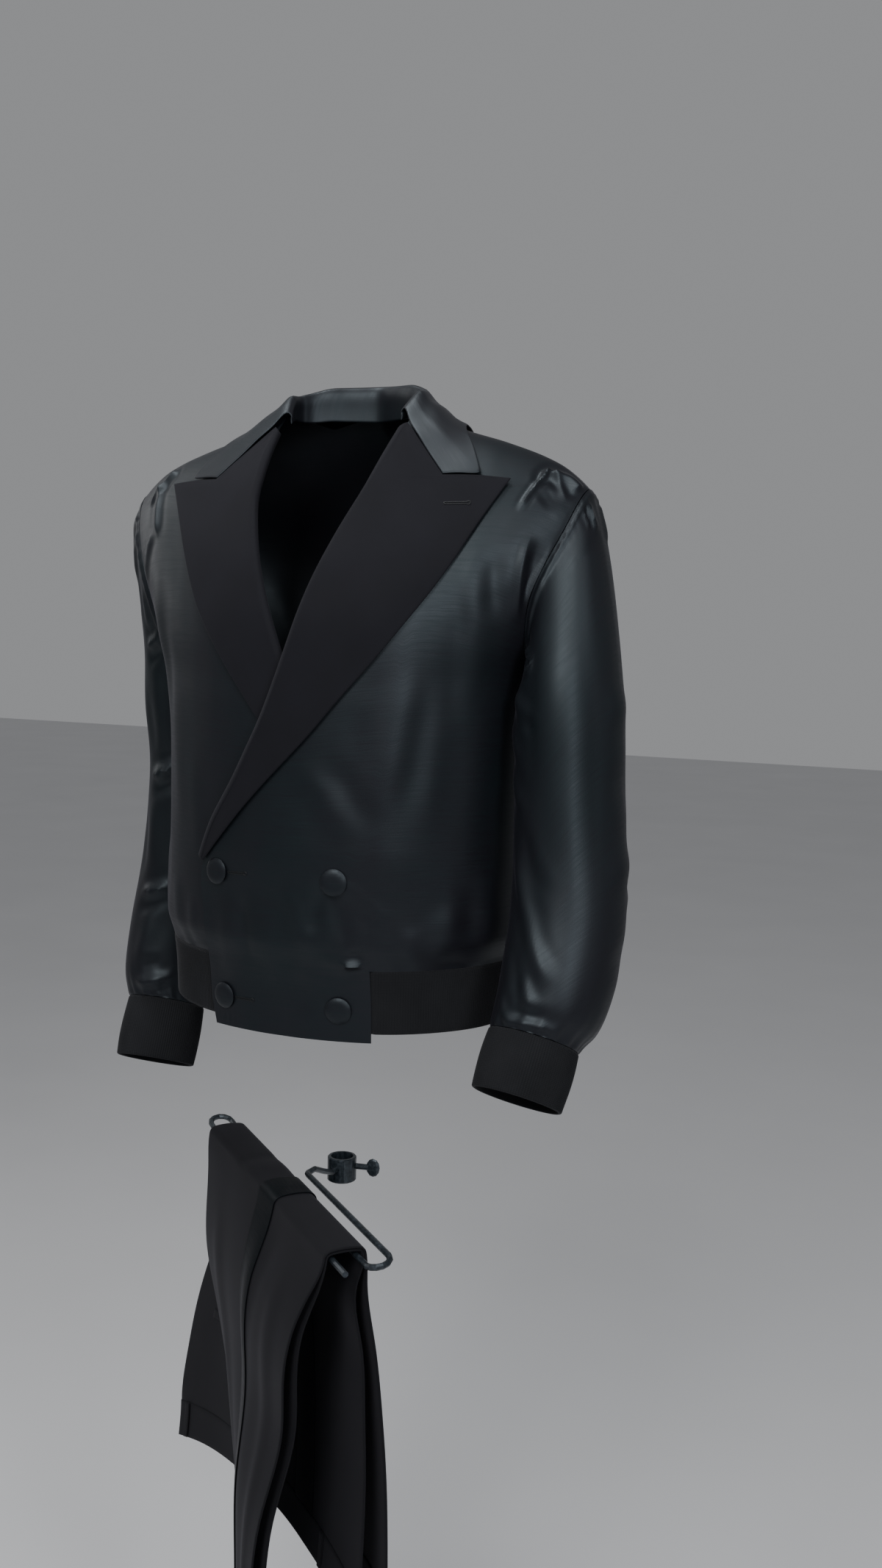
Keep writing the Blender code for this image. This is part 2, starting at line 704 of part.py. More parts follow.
def sleeve(name, rows, cuff, left, look):
    """A sleeve from the armhole seam to the cuff seam."""
    side = 1.0 if left else -1.0
    loop = armhole_loop(left)
    count = len(loop)
    table = resample(rows, 9)
    end, far, end_radius = Vector(cuff[0]), Vector(cuff[1]), cuff[2]
    axis = (far - end).normalized()
    centres = [Vector(row[:3]) for row in table] + [end - axis * 2 * SEAM]
    sizes = [(row[3], row[4]) for row in table] + [(end_radius, end_radius)]
    rings = []
    for index, (centre, (across, along)) in enumerate(zip(centres, sizes)):
        before = centres[max(index - 1, 0)]
        after = centres[min(index + 1, len(centres) - 1)]
        tangent = (after - before).normalized()
        if index == 0:
            tangent = Vector((0, 0, -1))
        if index >= len(centres) - 2:
            tangent = axis
        outer_way, forward = section_frame(tangent, side)
        ring = []
        for step in range(count):
            turn = 2 * math.pi * step / count
            ring.append(centre + outer_way * across * math.cos(turn)
                        + forward * along * math.sin(turn))
        rings.append(ring)
    head = []
    for share in (0.10, 0.24, 0.42, 0.62, 0.82):
        ring = []
        for step in range(count):
            turn = 2 * math.pi * step / count
            start, goal = loop[step][0], rings[0][step]
            upper = (1 + math.cos(turn)) / 2
            leave = Vector((side * (0.95 - 0.45 * upper), 0, -0.05 - 0.80 * upper)).normalized()
            span = (goal - start).length
            reach = 0.014 + 0.08 * span * upper
            a, b = start, start + leave * reach
            c, d = goal + Vector((-side * 0.09 * upper, 0, 1)) * 0.30 * span, goal
            t, s = share, 1 - share
            ring.append(a * s**3 + b * 3 * s**2 * t + c * 3 * s * t**2 + d * t**3)
        head.append(ring)
    first = [point + Vector((side * 2 * SEAM, 0, 0)) for point, _ in loop]
    outer = np.array([[tuple(p) for p in ring] for ring in [first] + head + rings])
    normal = grid_normals(outer, closed=True)
    centre_line = outer.mean(axis=1, keepdims=True)
    facing = np.sum(normal * (outer - centre_line), axis=2).mean()
    if facing < 0:
        normal = -normal
    normal[0] = np.array([tuple(n) for _, n in loop])
    blend = normal[1] * 0.5 + normal[0] * 0.5
    normal[1] = blend / np.linalg.norm(blend, axis=1, keepdims=True)
    inner = outer - normal * CLOTH
    radial = outer[-1] - np.array(tuple(centres[-1]))
    radial /= np.linalg.norm(radial, axis=1, keepdims=True)
    inner[-1] = outer[-1] - radial * CLOTH
    return finish(name, wall_mesh(name, outer, inner, closed=True), look)


def cuff_tube(name, cuff, left, look):
    """Rib-knit cuff: raised ribs outside, plain inside."""
    side = 1.0 if left else -1.0
    top, low, top_radius, low_radius = Vector(cuff[0]), Vector(cuff[1]), cuff[2], cuff[3]
    axis = (low - top).normalized()
    outer_way, forward = section_frame(axis, side)
    ribs = int(round(2 * math.pi * top_radius / RIB_PITCH))
    count = ribs * 2
    outer, inner = [], []
    for share in (0.0, 0.5, 1.0):
        centre = top.lerp(low, share)
        radius = top_radius + (low_radius - top_radius) * share
        radius += 0.0016 * math.sin(math.pi * share)
        ring_outer, ring_inner = [], []
        for step in range(count):
            turn = 2 * math.pi * step / count
            way = outer_way * math.cos(turn) + forward * math.sin(turn)
            rib = RIB_HEIGHT if step % 2 == 0 else 0.0
            ring_outer.append(centre + way * (radius + rib))
            ring_inner.append(centre + way * (radius - RIB_WALL))
        outer.append(ring_outer)
        inner.append(ring_inner)
    outer = np.array([[tuple(p) for p in ring] for ring in outer])
    inner = np.array([[tuple(p) for p in ring] for ring in inner])
    return finish(name, wall_mesh(name, outer, inner, closed=True), look,
                  angle=math.radians(70))


def hem_band(look):
    """Rib-knit band from one side of the tab round the back to the other side."""
    z_top, z_low = BAND_TOP_Z - SEAM, BAND_LOW_Z
    start = body_angle(TAB_LEFT_X + SEAM, -0.575)
    finish_angle = 2 * math.pi - body_angle(TAB_RIGHT_X + SEAM, -0.575)
    length = 0.83
    ribs = int(length / RIB_PITCH)
    count = ribs * 2
    outer, inner = [], []
    for z in (z_top, z_low):
        ring_outer, ring_inner = [], []
        for step in range(count + 1):
            turn = start + (finish_angle - start) * step / count
            back = math.pi / 2 < turn < 3 * math.pi / 2
            fold = turn if turn <= math.pi / 2 else math.pi - turn
            if turn > 3 * math.pi / 2:
                fold = turn - 2 * math.pi
            point, normal = body_point(fold, z, back), body_normal(fold, z, back)
            normal.z = 0.0
            normal.normalize()
            lift = 0.0
            if not back and point.x > 0:
                lift = overlap_lift(point.x, z)
            rib = RIB_HEIGHT if step % 2 == 1 else 0.0
            ring_outer.append(point + normal * (lift + rib))
            ring_inner.append(point + normal * (lift - RIB_WALL))
        outer.append(ring_outer)
        inner.append(ring_inner)
    outer = np.array([[tuple(p) for p in ring] for ring in outer])
    inner = np.array([[tuple(p) for p in ring] for ring in inner])
    return finish("hem_band", wall_mesh("hem_band", outer, inner), look, angle=math.radians(70))


def button(name, x, z, look):
    """Cloth-covered domed button on the upper front."""
    def lifted(px, pz):
        return on_body(px, pz, lift=overlap_lift(px, pz))

    step = 0.008
    normal = (lifted(x, z + step) - lifted(x, z - step)).cross(
        lifted(x - step, z) - lifted(x + step, z)).normalized()
    seat = lifted(x, z) + normal * 0.0006
    rim = ((BUTTON_RADIUS - 0.0006, 0.0), (BUTTON_RADIUS, 0.0012),
           (0.84 * BUTTON_RADIUS, 0.0035), (0.50 * BUTTON_RADIUS, BUTTON_HEIGHT - 0.0004),
           (0.0, BUTTON_HEIGHT))
    built = bmesh.new()
    previous, steps = None, 14
    for radius, height in rim:
        if radius == 0.0:
            tip = built.verts.new((0, 0, height))
            for index in range(steps):
                built.faces.new((previous[index], previous[(index + 1) % steps], tip))
            break
        ring = [built.verts.new((radius * math.cos(2 * math.pi * i / steps),
                                 radius * math.sin(2 * math.pi * i / steps), height))
                for i in range(steps)]
        if previous is None:
            built.faces.new(list(reversed(ring)))
        else:
            for index in range(steps):
                following = (index + 1) % steps
                built.faces.new((previous[index], previous[following], ring[following],
                                 ring[index]))
        previous = ring
    bmesh.ops.recalc_face_normals(built, faces=list(built.faces))
    turn = normal.to_track_quat("Z", "Y").to_matrix().to_4x4()
    built.transform(Matrix.Translation(seat) @ turn)
    mesh = bpy.data.meshes.new(name)
    built.to_mesh(mesh)
    built.free()
    return finish(name, mesh, look)


# ---------------------------------------------------------------- hanger and trousers
def bar_point(u, p, z):
    """World point from the distances along and across the hanger's rods."""
    dx, dy = BAR_DIRECTION
    return Vector((u * dx - p * 0.6606, u * dy - p * 0.7507, z))


def drape_rows(inner):
    """Rows of a layer that hangs over the two inner rods, from the legs to the waist."""
    inset, top_inset = (INNER_LAYER, TOP_LAYER) if inner else (0.0, 0.0)
    waist_gap = WAIST_GAP if inner else 0.0
    made = []
    rod_seat, rod_leg = ROD_OFFSETS[1], ROD_OFFSETS[2]
    for z, near_u, near_p, far_u, far_p, belly in LEG_ROWS:
        made.append((near_u, near_p - inset, z, far_u, far_p - inset, z, belly, "leg"))
    reach = TOP_REACH - top_inset
    for degrees in (0, 30, 60, 90):
        a = math.radians(degrees)
        p, z = rod_leg + reach * math.cos(a), BAR_Z + reach * math.sin(a)
        made.append((TOP_NEAR_U, p, z, TOP_FAR_U, p, z, 0.0, "top"))
    for degrees in (90, 60, 30, 0):
        a = math.radians(degrees)
        p, z = rod_seat - reach * math.cos(a), BAR_Z + reach * math.sin(a)
        made.append((TOP_NEAR_U, p, z, TOP_FAR_U, p, z, 0.0, "top"))
    for z, near_u, near_p, far_u, far_p, belly in SEAT_ROWS:
        depth = min(max((BAR_Z - z) / 0.385, 0.0), 1.0)
        shift = inset + waist_gap * depth
        made.append((near_u - 0.25 * shift, near_p + shift, z, far_u, far_p + inset * 1.2,
                     z - WAIST_DROP * depth, belly, "seat"))
    return made


def layer_grid(rows, columns):
    """Grid of points of a folded layer, near edge to far edge."""
    grid = []
    for near_u, near_p, near_z, far_u, far_p, far_z, belly, kind in rows:
        ring = []
        for column in range(columns + 1):
            t = column / columns
            u = near_u + (far_u - near_u) * t
            p = near_p + (far_p - near_p) * t
            z = near_z + (far_z - near_z) * t
            bow = belly * math.sin(math.pi * t)
            if kind == "leg":
                p += bow
            elif kind == "seat":
                p += (far_p - near_p) * (t**2.4 - t) - bow * (1 - t) * 0.9
                z = near_z + (far_z - near_z) * t**DROP_POWER
            ring.append(tuple(bar_point(u, p, z)))
        grid.append(ring)
    return np.array(grid)


def layer_surface(inner, columns=10):
    """Outer points and outward normals of a whole folded layer, with its rows."""
    rows = drape_rows(inner)
    points = layer_grid(rows, columns)
    normal = grid_normals(points)
    top_row = [index for index, row in enumerate(rows) if row[7] == "top"][3]
    if normal[top_row, columns // 2, 2] < 0:
        normal = -normal
    return rows, points, normal


def folded_layer(name, surface, span, thickness, look, proud=0.0):
    """The part of a folded layer between two rows as a wall."""
    rows, points, normal = surface
    chosen, facing = points[span[0]:span[1]], normal[span[0]:span[1]]
    outer = chosen + facing * proud
    inner = chosen - facing * (thickness - proud)
    return finish(name, wall_mesh(name, outer, inner), look)


def surface_spot(surface, row, share, lift):
    """Point and normal of a folded layer at a fractional row and a share of its width."""
    _, points, normal = surface
    total = points.shape[1] - 1
    base_row = min(int(row), points.shape[0] - 2)
    v = row - base_row
    at = min(max(share, 0.0), 1.0) * total
    base = min(int(at), total - 1)
    u = at - base
    spot, way = [], []
    for grid, into in ((points, spot), (normal, way)):
        into.append((grid[base_row, base] * (1 - u) + grid[base_row, base + 1] * u) * (1 - v)
                    + (grid[base_row + 1, base] * (1 - u) + grid[base_row + 1, base + 1] * u) * v)
    facing = way[0] / np.linalg.norm(way[0])
    return spot[0] + facing * lift, facing


def strip_on(name, surface, row_list, span, columns, levels, look):
    """A strip that lies on a layer: rows, a span of shares for each, and two levels."""
    grids = []
    for level in levels:
        grid = []
        for row in row_list:
            low, high = span(row)
            grid.append([surface_spot(surface, row, low + (high - low) * c / columns, level)[0]
                         for c in range(columns + 1)])
        grids.append(grid)
    return finish(name, wall_mesh(name, np.array(grids[0]), np.array(grids[1])), look)


def small_button(name, surface, row, share, level, outward, look):
    """Small flat trouser button."""
    spot, facing = surface_spot(surface, row, share, level)
    built = bmesh.new()
    bmesh.ops.create_cone(built, cap_ends=True, segments=12, radius1=0.0070, radius2=0.0062,
                          depth=0.0024)
    bmesh.ops.translate(built, verts=built.verts, vec=(0, 0, 0.0012))
    turn = (Vector(facing) * outward).to_track_quat("Z", "Y").to_matrix().to_4x4()
    built.transform(Matrix.Translation(Vector(spot)) @ turn)
    mesh = bpy.data.meshes.new(name)
    built.to_mesh(mesh)
    built.free()
    return finish(name, mesh, look)


def rod_curve(name, points, radius, look):
    """A round rod along a polyline."""
    curve = bpy.data.curves.new(name, "CURVE")
    curve.dimensions = "3D"
    curve.bevel_depth = radius
    curve.bevel_resolution = 2
    curve.use_fill_caps = True
    curve.resolution_u = 1
    line = curve.splines.new("POLY")
    line.points.add(len(points) - 1)
    for target, point in zip(line.points, points):
        target.co = (*point, 1.0)
    item = bpy.data.objects.new(name, curve)
    item.data.materials.append(look)
    part_collection().objects.link(item)
    return item


def hanger_rod(look):
    """The bent rod: clamp arm, first rod, and the two rods that carry the trousers."""
    first, second, third = ROD_OFFSETS
    path = []

    def put(u, p, rise=0.0):
        path.append(bar_point(u, p, BAR_Z + rise))

    put(0.0113, 0.0113, -0.0100)
    put(0.0180, 0.0180, -0.0098)
    put(0.0290, 0.0305, -0.0035)
    put(0.0440, 0.0470, ROD_RISE)
    for angle in (20, 45, 70, 90):
        a = math.radians(angle)
        put(0.0570 - 0.008 * math.cos(a), first - 0.008 + 0.008 * math.sin(a), ROD_RISE)
    put(0.1300, first, ROD_RISE)
    put(0.2100, first, ROD_RISE)
    bend = (second - first) / 2
    for angle in range(-90, 91, 30):
        a = math.radians(angle)
        put(0.2720 + bend * 1.1 * math.cos(a), (first + second) / 2 + bend * math.sin(a),
            ROD_RISE * (90 - angle) / 180)
    put(0.1500, second)
    put(-0.1140, second)
    bend = (third - second) / 2
    for angle in range(-90, 91, 30):
        a = math.radians(angle)
        put(-0.1390 - bend * math.cos(a), (second + third) / 2 + bend * math.sin(a),
            ROD_RISE * (0.55 + 0.45 * math.cos(a)))
    put(-0.1140, third)
    put(0.1500, third)
    put(0.2815, third)
    return rod_curve("hanger_rod", path, BAR_RADIUS, look)


def ring_solid(name, inner_radius, outer_radius, low, high, look, steps=20):
    """A plain bored collar by turning its section."""
    mesh = bpy.data.meshes.new(name)
    chamfer = 0.0010
    section = [(inner_radius, high), (outer_radius - chamfer, high), (outer_radius, high - chamfer),
               (outer_radius, low + chamfer), (outer_radius - chamfer, low), (inner_radius, low)]
    edges = [(i, (i + 1) % len(section)) for i in range(len(section))]
    mesh.from_pydata([(r, 0, z) for r, z in section], edges, [])
    item = finish(name, mesh, look)
    turned = item.modifiers.new("turn", "SCREW")
    turned.angle = 2 * math.pi
    turned.steps = steps
    turned.render_steps = steps
    turned.screw_offset = 0.0
    turned.use_merge_vertices = True
    turned.merge_threshold = 0.00001
    turned.use_normal_calculate = True
    return item


def thumb_screw(look):
    """Clamping screw with a flat thumb tab on the collar."""
    built = bmesh.new()
    bmesh.ops.create_cone(built, cap_ends=True, segments=12, radius1=0.0032, radius2=0.0032,
                          depth=0.014)
    bmesh.ops.translate(built, verts=built.verts, vec=(0, 0, 0.007))
    mesh = bpy.data.meshes.new("thumbscrew")
    built.to_mesh(mesh)
    built.free()
    item = finish("thumbscrew", mesh, look)
    knob = bmesh.new()
    bmesh.ops.create_uvsphere(knob, u_segments=10, v_segments=6, radius=1.0)
    bmesh.ops.scale(knob, vec=(0.0022, 0.0100, 0.0075), verts=knob.verts)
    bmesh.ops.translate(knob, verts=knob.verts, vec=(0, 0, 0.0185))
    knob_mesh = bpy.data.meshes.new("thumb_tab")
    knob.to_mesh(knob_mesh)
    knob.free()
    tab = bpy.data.objects.new("thumb_tab_cutter", knob_mesh)
    holder = bpy.data.collections.get("cutters") or bpy.data.collections.new("cutters")
    if holder.name not in bpy.context.scene.collection.children:
        bpy.context.scene.collection.children.link(holder)
    holder.objects.link(tab)
    tab.hide_render = True
    tab.display_type = "WIRE"
    join = item.modifiers.new("tab", "BOOLEAN")
    join.operation = "UNION"
    join.object = tab
    direction = Vector((0.980, 0.200, 0.0)).normalized()
    turn = direction.to_track_quat("Z", "Y").to_matrix().to_4x4()
    place = Matrix.Translation(direction * (SOCKET_RADIUS + 0.0003)
                               + Vector((0, 0, SOCKET_TOP_Z - 0.0100))) @ turn
    item.matrix_world = place
    tab.matrix_world = place
    return item


def belt_loop(name, surface, row, share, levels, look):
    """A belt loop standing on the waistband, between two levels over the layer."""
    _, points, _ = surface
    width = float(np.linalg.norm(points[row, 0] - points[row, -1]))
    half = 0.0050 / width
    low, high = levels
    return strip_on(name, surface, (row - 0.05, row + 0.02, row + 0.5, row + 0.98),
                    lambda _: (share - half, share + half), 1, (high, low), look)


def trousers(look, stripe_look):
    """Both legs, the waistbands and what is sewn on them."""
    left, right = layer_surface(False), layer_surface(True)
    rows = left[0]
    last = len(rows)
    waist = last - 2
    folded_layer("trousers_left", left, (0, last - 2), LEG_WALL, look)
    folded_layer("trousers_right", right, (0, last - 2), LEG_WALL, look)
    folded_layer("waistband_left", left, (waist, last), BAND_WALL + 0.0012, look, proud=0.0006)
    folded_layer("waistband_right", right, (waist, last), BAND_WALL + 0.0012, look,
                 proud=0.0006)

    def stripe_span(surface):
        def span(row):
            chosen = surface[0][int(row)]
            width = chosen[0] - chosen[3]
            centre = (chosen[0] - STRIPE_U) / width
            half = STRIPE_WIDTH / 2 / width
            return centre - half, centre + half
        return span

    rows_all = list(range(last - 2))
    strip_on("side_stripe_left", left, rows_all, stripe_span(left), 4,
             (0.0016, 0.0008), stripe_look)
    strip_on("side_stripe_right", right, rows_all, stripe_span(right), 6,
             (-LEG_WALL - 0.0006, -LEG_WALL - 0.0013), stripe_look)
    for index, share in enumerate((0.22, 0.58, 0.955)):
        belt_loop(f"belt_loop_left_{index + 1}", left, waist, share, (0.0011, 0.0029), look)
        belt_loop(f"belt_loop_right_{index + 1}", right, waist, share,
                  (-BAND_WALL - 0.0028, -BAND_WALL - 0.0010), look)
    welt_row = last - 5.0
    for label, surface, levels in (("left", left, (0.0016, 0.0004)),
                                   ("right", right, (-LEG_WALL - 0.0004, -LEG_WALL - 0.0016))):
        grid = [[surface_spot(surface, welt_row + dv, 0.62 + 0.27 * c / 4, level)[0]
                 for c in range(5)] for level in levels for dv in (0.0, 0.16)]
        outer, inner = np.array(grid[:2]), np.array(grid[2:])
        finish(f"pocket_welt_{label}", wall_mesh(f"pocket_welt_{label}", outer, inner), look)
    small_button("pocket_button_left", left, welt_row + 0.42, 0.755, 0.0006, 1.0, look)
    small_button("pocket_button_right", right, welt_row + 0.42, 0.755, -LEG_WALL - 0.0006, -1.0,
                 look)


def build():
    """Model the whole part."""
    clear_scene()
    part_collection()
    cloth, facing, knit, wool, metal = satin(), facing_cloth(), rib_knit(), suiting(), steel()
    back_panel(cloth)
    front_panel("front_left", True, cloth)
    front_panel("front_right", False, cloth)
    lapel("lapel_left", True, facing)
    lapel("lapel_right", False, facing)
    collar(cloth)
    sleeve("sleeve_left", SLEEVE_LEFT_ROWS, CUFF_LEFT, True, cloth)
    sleeve("sleeve_right", SLEEVE_RIGHT_ROWS, CUFF_RIGHT, False, cloth)
    cuff_tube("cuff_left", CUFF_LEFT, True, knit)
    cuff_tube("cuff_right", CUFF_RIGHT, False, knit)
    hem_band(knit)
    for row, z in enumerate(BUTTON_ROWS_Z):
        for label, x in (("right", -BUTTON_X), ("left", BUTTON_X)):
            button(f"button_{('upper', 'lower')[row]}_{label}", x, z, cloth)
    hanger_rod(metal)
    ring_solid("hanger_socket", SOCKET_BORE / 2, SOCKET_RADIUS, SOCKET_TOP_Z - SOCKET_HEIGHT,
               SOCKET_TOP_Z, metal)
    thumb_screw(metal)
    trousers(wool, cloth)


if __name__ == "__main__":
    build()
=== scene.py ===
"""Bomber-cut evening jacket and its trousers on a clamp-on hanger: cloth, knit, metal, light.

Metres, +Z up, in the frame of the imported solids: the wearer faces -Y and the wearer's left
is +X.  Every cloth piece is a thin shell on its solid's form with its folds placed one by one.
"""
import json
import logging
import math
from dataclasses import dataclass, field
from enum import Enum
from typing import Any, Callable, Iterable, Sequence

import bmesh
import bpy
import numpy as np
from mathutils import Matrix, Vector, noise
from mathutils.bvhtree import BVHTree

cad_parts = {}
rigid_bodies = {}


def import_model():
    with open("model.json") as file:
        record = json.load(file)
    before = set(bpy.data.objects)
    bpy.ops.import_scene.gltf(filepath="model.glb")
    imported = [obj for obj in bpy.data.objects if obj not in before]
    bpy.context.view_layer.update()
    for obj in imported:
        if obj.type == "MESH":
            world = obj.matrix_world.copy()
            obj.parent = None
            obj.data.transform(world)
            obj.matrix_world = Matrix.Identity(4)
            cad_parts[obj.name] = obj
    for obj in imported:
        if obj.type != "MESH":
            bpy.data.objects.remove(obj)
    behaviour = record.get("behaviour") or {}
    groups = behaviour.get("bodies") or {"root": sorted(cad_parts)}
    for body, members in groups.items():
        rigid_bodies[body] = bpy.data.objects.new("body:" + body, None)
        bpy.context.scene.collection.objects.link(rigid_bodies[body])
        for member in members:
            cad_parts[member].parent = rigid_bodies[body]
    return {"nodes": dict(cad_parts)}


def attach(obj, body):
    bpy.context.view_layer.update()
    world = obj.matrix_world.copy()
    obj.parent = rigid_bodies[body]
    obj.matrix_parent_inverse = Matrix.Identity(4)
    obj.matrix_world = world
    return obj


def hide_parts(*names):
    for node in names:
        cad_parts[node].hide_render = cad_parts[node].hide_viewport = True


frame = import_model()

log = logging.getLogger("jacket_and_trousers")
logging.basicConfig(level=logging.INFO, format="%(message)s")

Grid = np.ndarray
Pair = tuple[float, float]
Triple = tuple[float, float, float]
Piece = bpy.types.Object
Look = bpy.types.Material

ROOT = "root"
CLOTH = 0.0015  # wall of the jacket's cloth
SEAM = 0.0003  # what a piece keeps back from its seam
HEM_Z = -0.619
BAND_TOP_Z = -0.547
BAND_LOW_Z = -0.6105
CALM_Z = BAND_TOP_Z + 0.016  # height from which the folds over the band are full
UNDERARM_Z = -0.27
SHOULDER_Z = -0.086
TAB_LEFT_X = 0.0925
TAB_RIGHT_X = 0.078
RING_POWER = 2.1  # 2 would make the body's rings ellipses
SETTLE_ROUNDS = 9  # rounds in which a panel's rows settle under the shoulder line
SIDE_FADE = math.radians(12)  # how far from the side seam folds have their full height
TENTHS = 10000  # tenths of a millimetre in a metre
TURNED = 0.0016  # width of the rolled rim of a lapel and of the collar
SHARP = 48.0  # degrees past which an edge of a smooth piece stays sharp
SHARP_KNIT = 80.0


# ---------------------------------------------------------------- numbers
def smooth(rows: Sequence[Sequence[float]], at: Any) -> Grid:
    """Read every column of a table at the given keys with a smooth cubic.

    Args:
        rows: the table; its first column is the key.
        at: keys, an array of any shape.

    Returns:
        The other columns, in a last axis added to the keys' shape.
    """
    table = np.array(rows, dtype=float)
    table = table[np.argsort(table[:, 0])]
    key, value = table[:, 0], table[:, 1:]
    secant = np.diff(value, axis=0) / np.diff(key)[:, None]
    slope = np.empty_like(value)
    slope[0], slope[-1] = secant[0], secant[-1]
    product, total = secant[:-1] * secant[1:], secant[:-1] + secant[1:]
    safe = np.where(np.abs(total) < 1e-12, 1.0, total)
    slope[1:-1] = np.where(product > 0, 2 * product / safe, 0.0)
    at = np.asarray(at, dtype=float)
    flat = np.clip(at.ravel(), key[0], key[-1])
    low = np.clip(np.searchsorted(key, flat, side="right") - 1, 0, len(key) - 2)
    width = (key[low + 1] - key[low])[:, None]
    t = (flat - key[low])[:, None] / width
    made = ((2 * t**3 - 3 * t**2 + 1) * value[low] + (t**3 - 2 * t**2 + t) * width * slope[low]
            + (3 * t**2 - 2 * t**3) * value[low + 1] + (t**3 - t**2) * width * slope[low + 1])
    return made.reshape(*at.shape, value.shape[1])


def ease(low: float, high: float, value: Any) -> Grid:
    """Smooth step from 0 at low to 1 at high."""
    t = np.clip((np.asarray(value, dtype=float) - low) / (high - low), 0.0, 1.0)
    return t * t * (3 - 2 * t)


def refine(grid: Grid, factor: int, axis: int = 0, closed: bool = False) -> Grid:
    """Put more points between the rows or columns of a grid with a cubic spline.

    Args:
        grid: points, rows by columns by 3.
        factor: how many steps each span becomes.
        axis: 0 for more rows, 1 for more columns.
        closed: True where the last column meets the first one.

    Returns:
        The finer grid; its old points are kept.
    """
    data = np.moveaxis(np.asarray(grid, dtype=float), axis, 0)
    wrap = 5 if closed else 0
    if closed:
        data = np.concatenate([data[-wrap:], data, data[:wrap + 1]])
    count = len(data)
    flat = data.reshape(count, -1)
    chord = np.linalg.norm(np.diff(data, axis=0), axis=-1).reshape(count - 1, -1).mean(axis=1)
    chord = np.maximum(chord, 1e-5)
    rate = np.diff(flat, axis=0) / chord[:, None]
    system, right = np.zeros((count, count)), np.zeros_like(flat)
    system[0, 0] = system[-1, -1] = 1.0
    for i in range(1, count - 1):
        system[i, i - 1:i + 2] = chord[i - 1], 2 * (chord[i - 1] + chord[i]), chord[i]
        right[i] = 6 * (rate[i] - rate[i - 1])
    bend = np.linalg.solve(system, right)
    made = []
    for i in range(wrap, count - 1 - wrap):
        h = chord[i]
        for step in range(factor):
            x = h * step / factor
            a, b = h - x, x
            made.append(bend[i] * a**3 / (6 * h) + bend[i + 1] * b**3 / (6 * h)
                        + (flat[i] / h - bend[i] * h / 6) * a
                        + (flat[i + 1] / h - bend[i + 1] * h / 6) * b)
    if not closed:
        made.append(flat[-1])
    return np.moveaxis(np.array(made).reshape(len(made), *data.shape[1:]), 0, axis)


def unit(vectors: Grid) -> Grid:
    """Vectors of length 1 along the last axis."""
    length = np.linalg.norm(vectors, axis=-1, keepdims=True)
    return vectors / np.where(length < 1e-12, 1.0, length)


def grid_normals(points: Grid, closed: bool = False) -> Grid:
    """Unit normals of a grid of points.

    Args:
        points: rows by columns by 3.
        closed: True where the last column meets the first one.

    Returns:
        A unit vector for each point.
    """
    down = np.gradient(points, axis=0)
    if closed:
        across = (np.roll(points, -1, axis=1) - np.roll(points, 1, axis=1)) / 2
    else:
        across = np.gradient(points, axis=1)
    return unit(np.cross(across, down))


def mirror_x(points: Grid) -> Grid:
    """The same points on the other side of the centre line."""
    return points * np.array((-1.0, 1.0, 1.0))


def grain(a: Grid, b: Grid, size_a: float, size_b: float, seed: float) -> Grid:
    """Soft uneven waves over a cloth, from -1 to 1.

    Args:
        a: distance across the cloth.
        b: distance along it.
        size_a: size of a wave across.
        size_b: size of a wave along.
        seed: which of many like patterns.

    Returns:
        The waves, in the shape of a.
    """
    made = [noise.noise(Vector((x / size_a, y / size_b, seed))) for x, y in
            zip(a.ravel(), b.ravel())]
    return np.array(made).reshape(a.shape)


# ---------------------------------------------------------------- folds
class Fold(Enum):
    """How a fold's section looks."""

    SOFT = ""
    PINCH = "p"
    RING = "r"


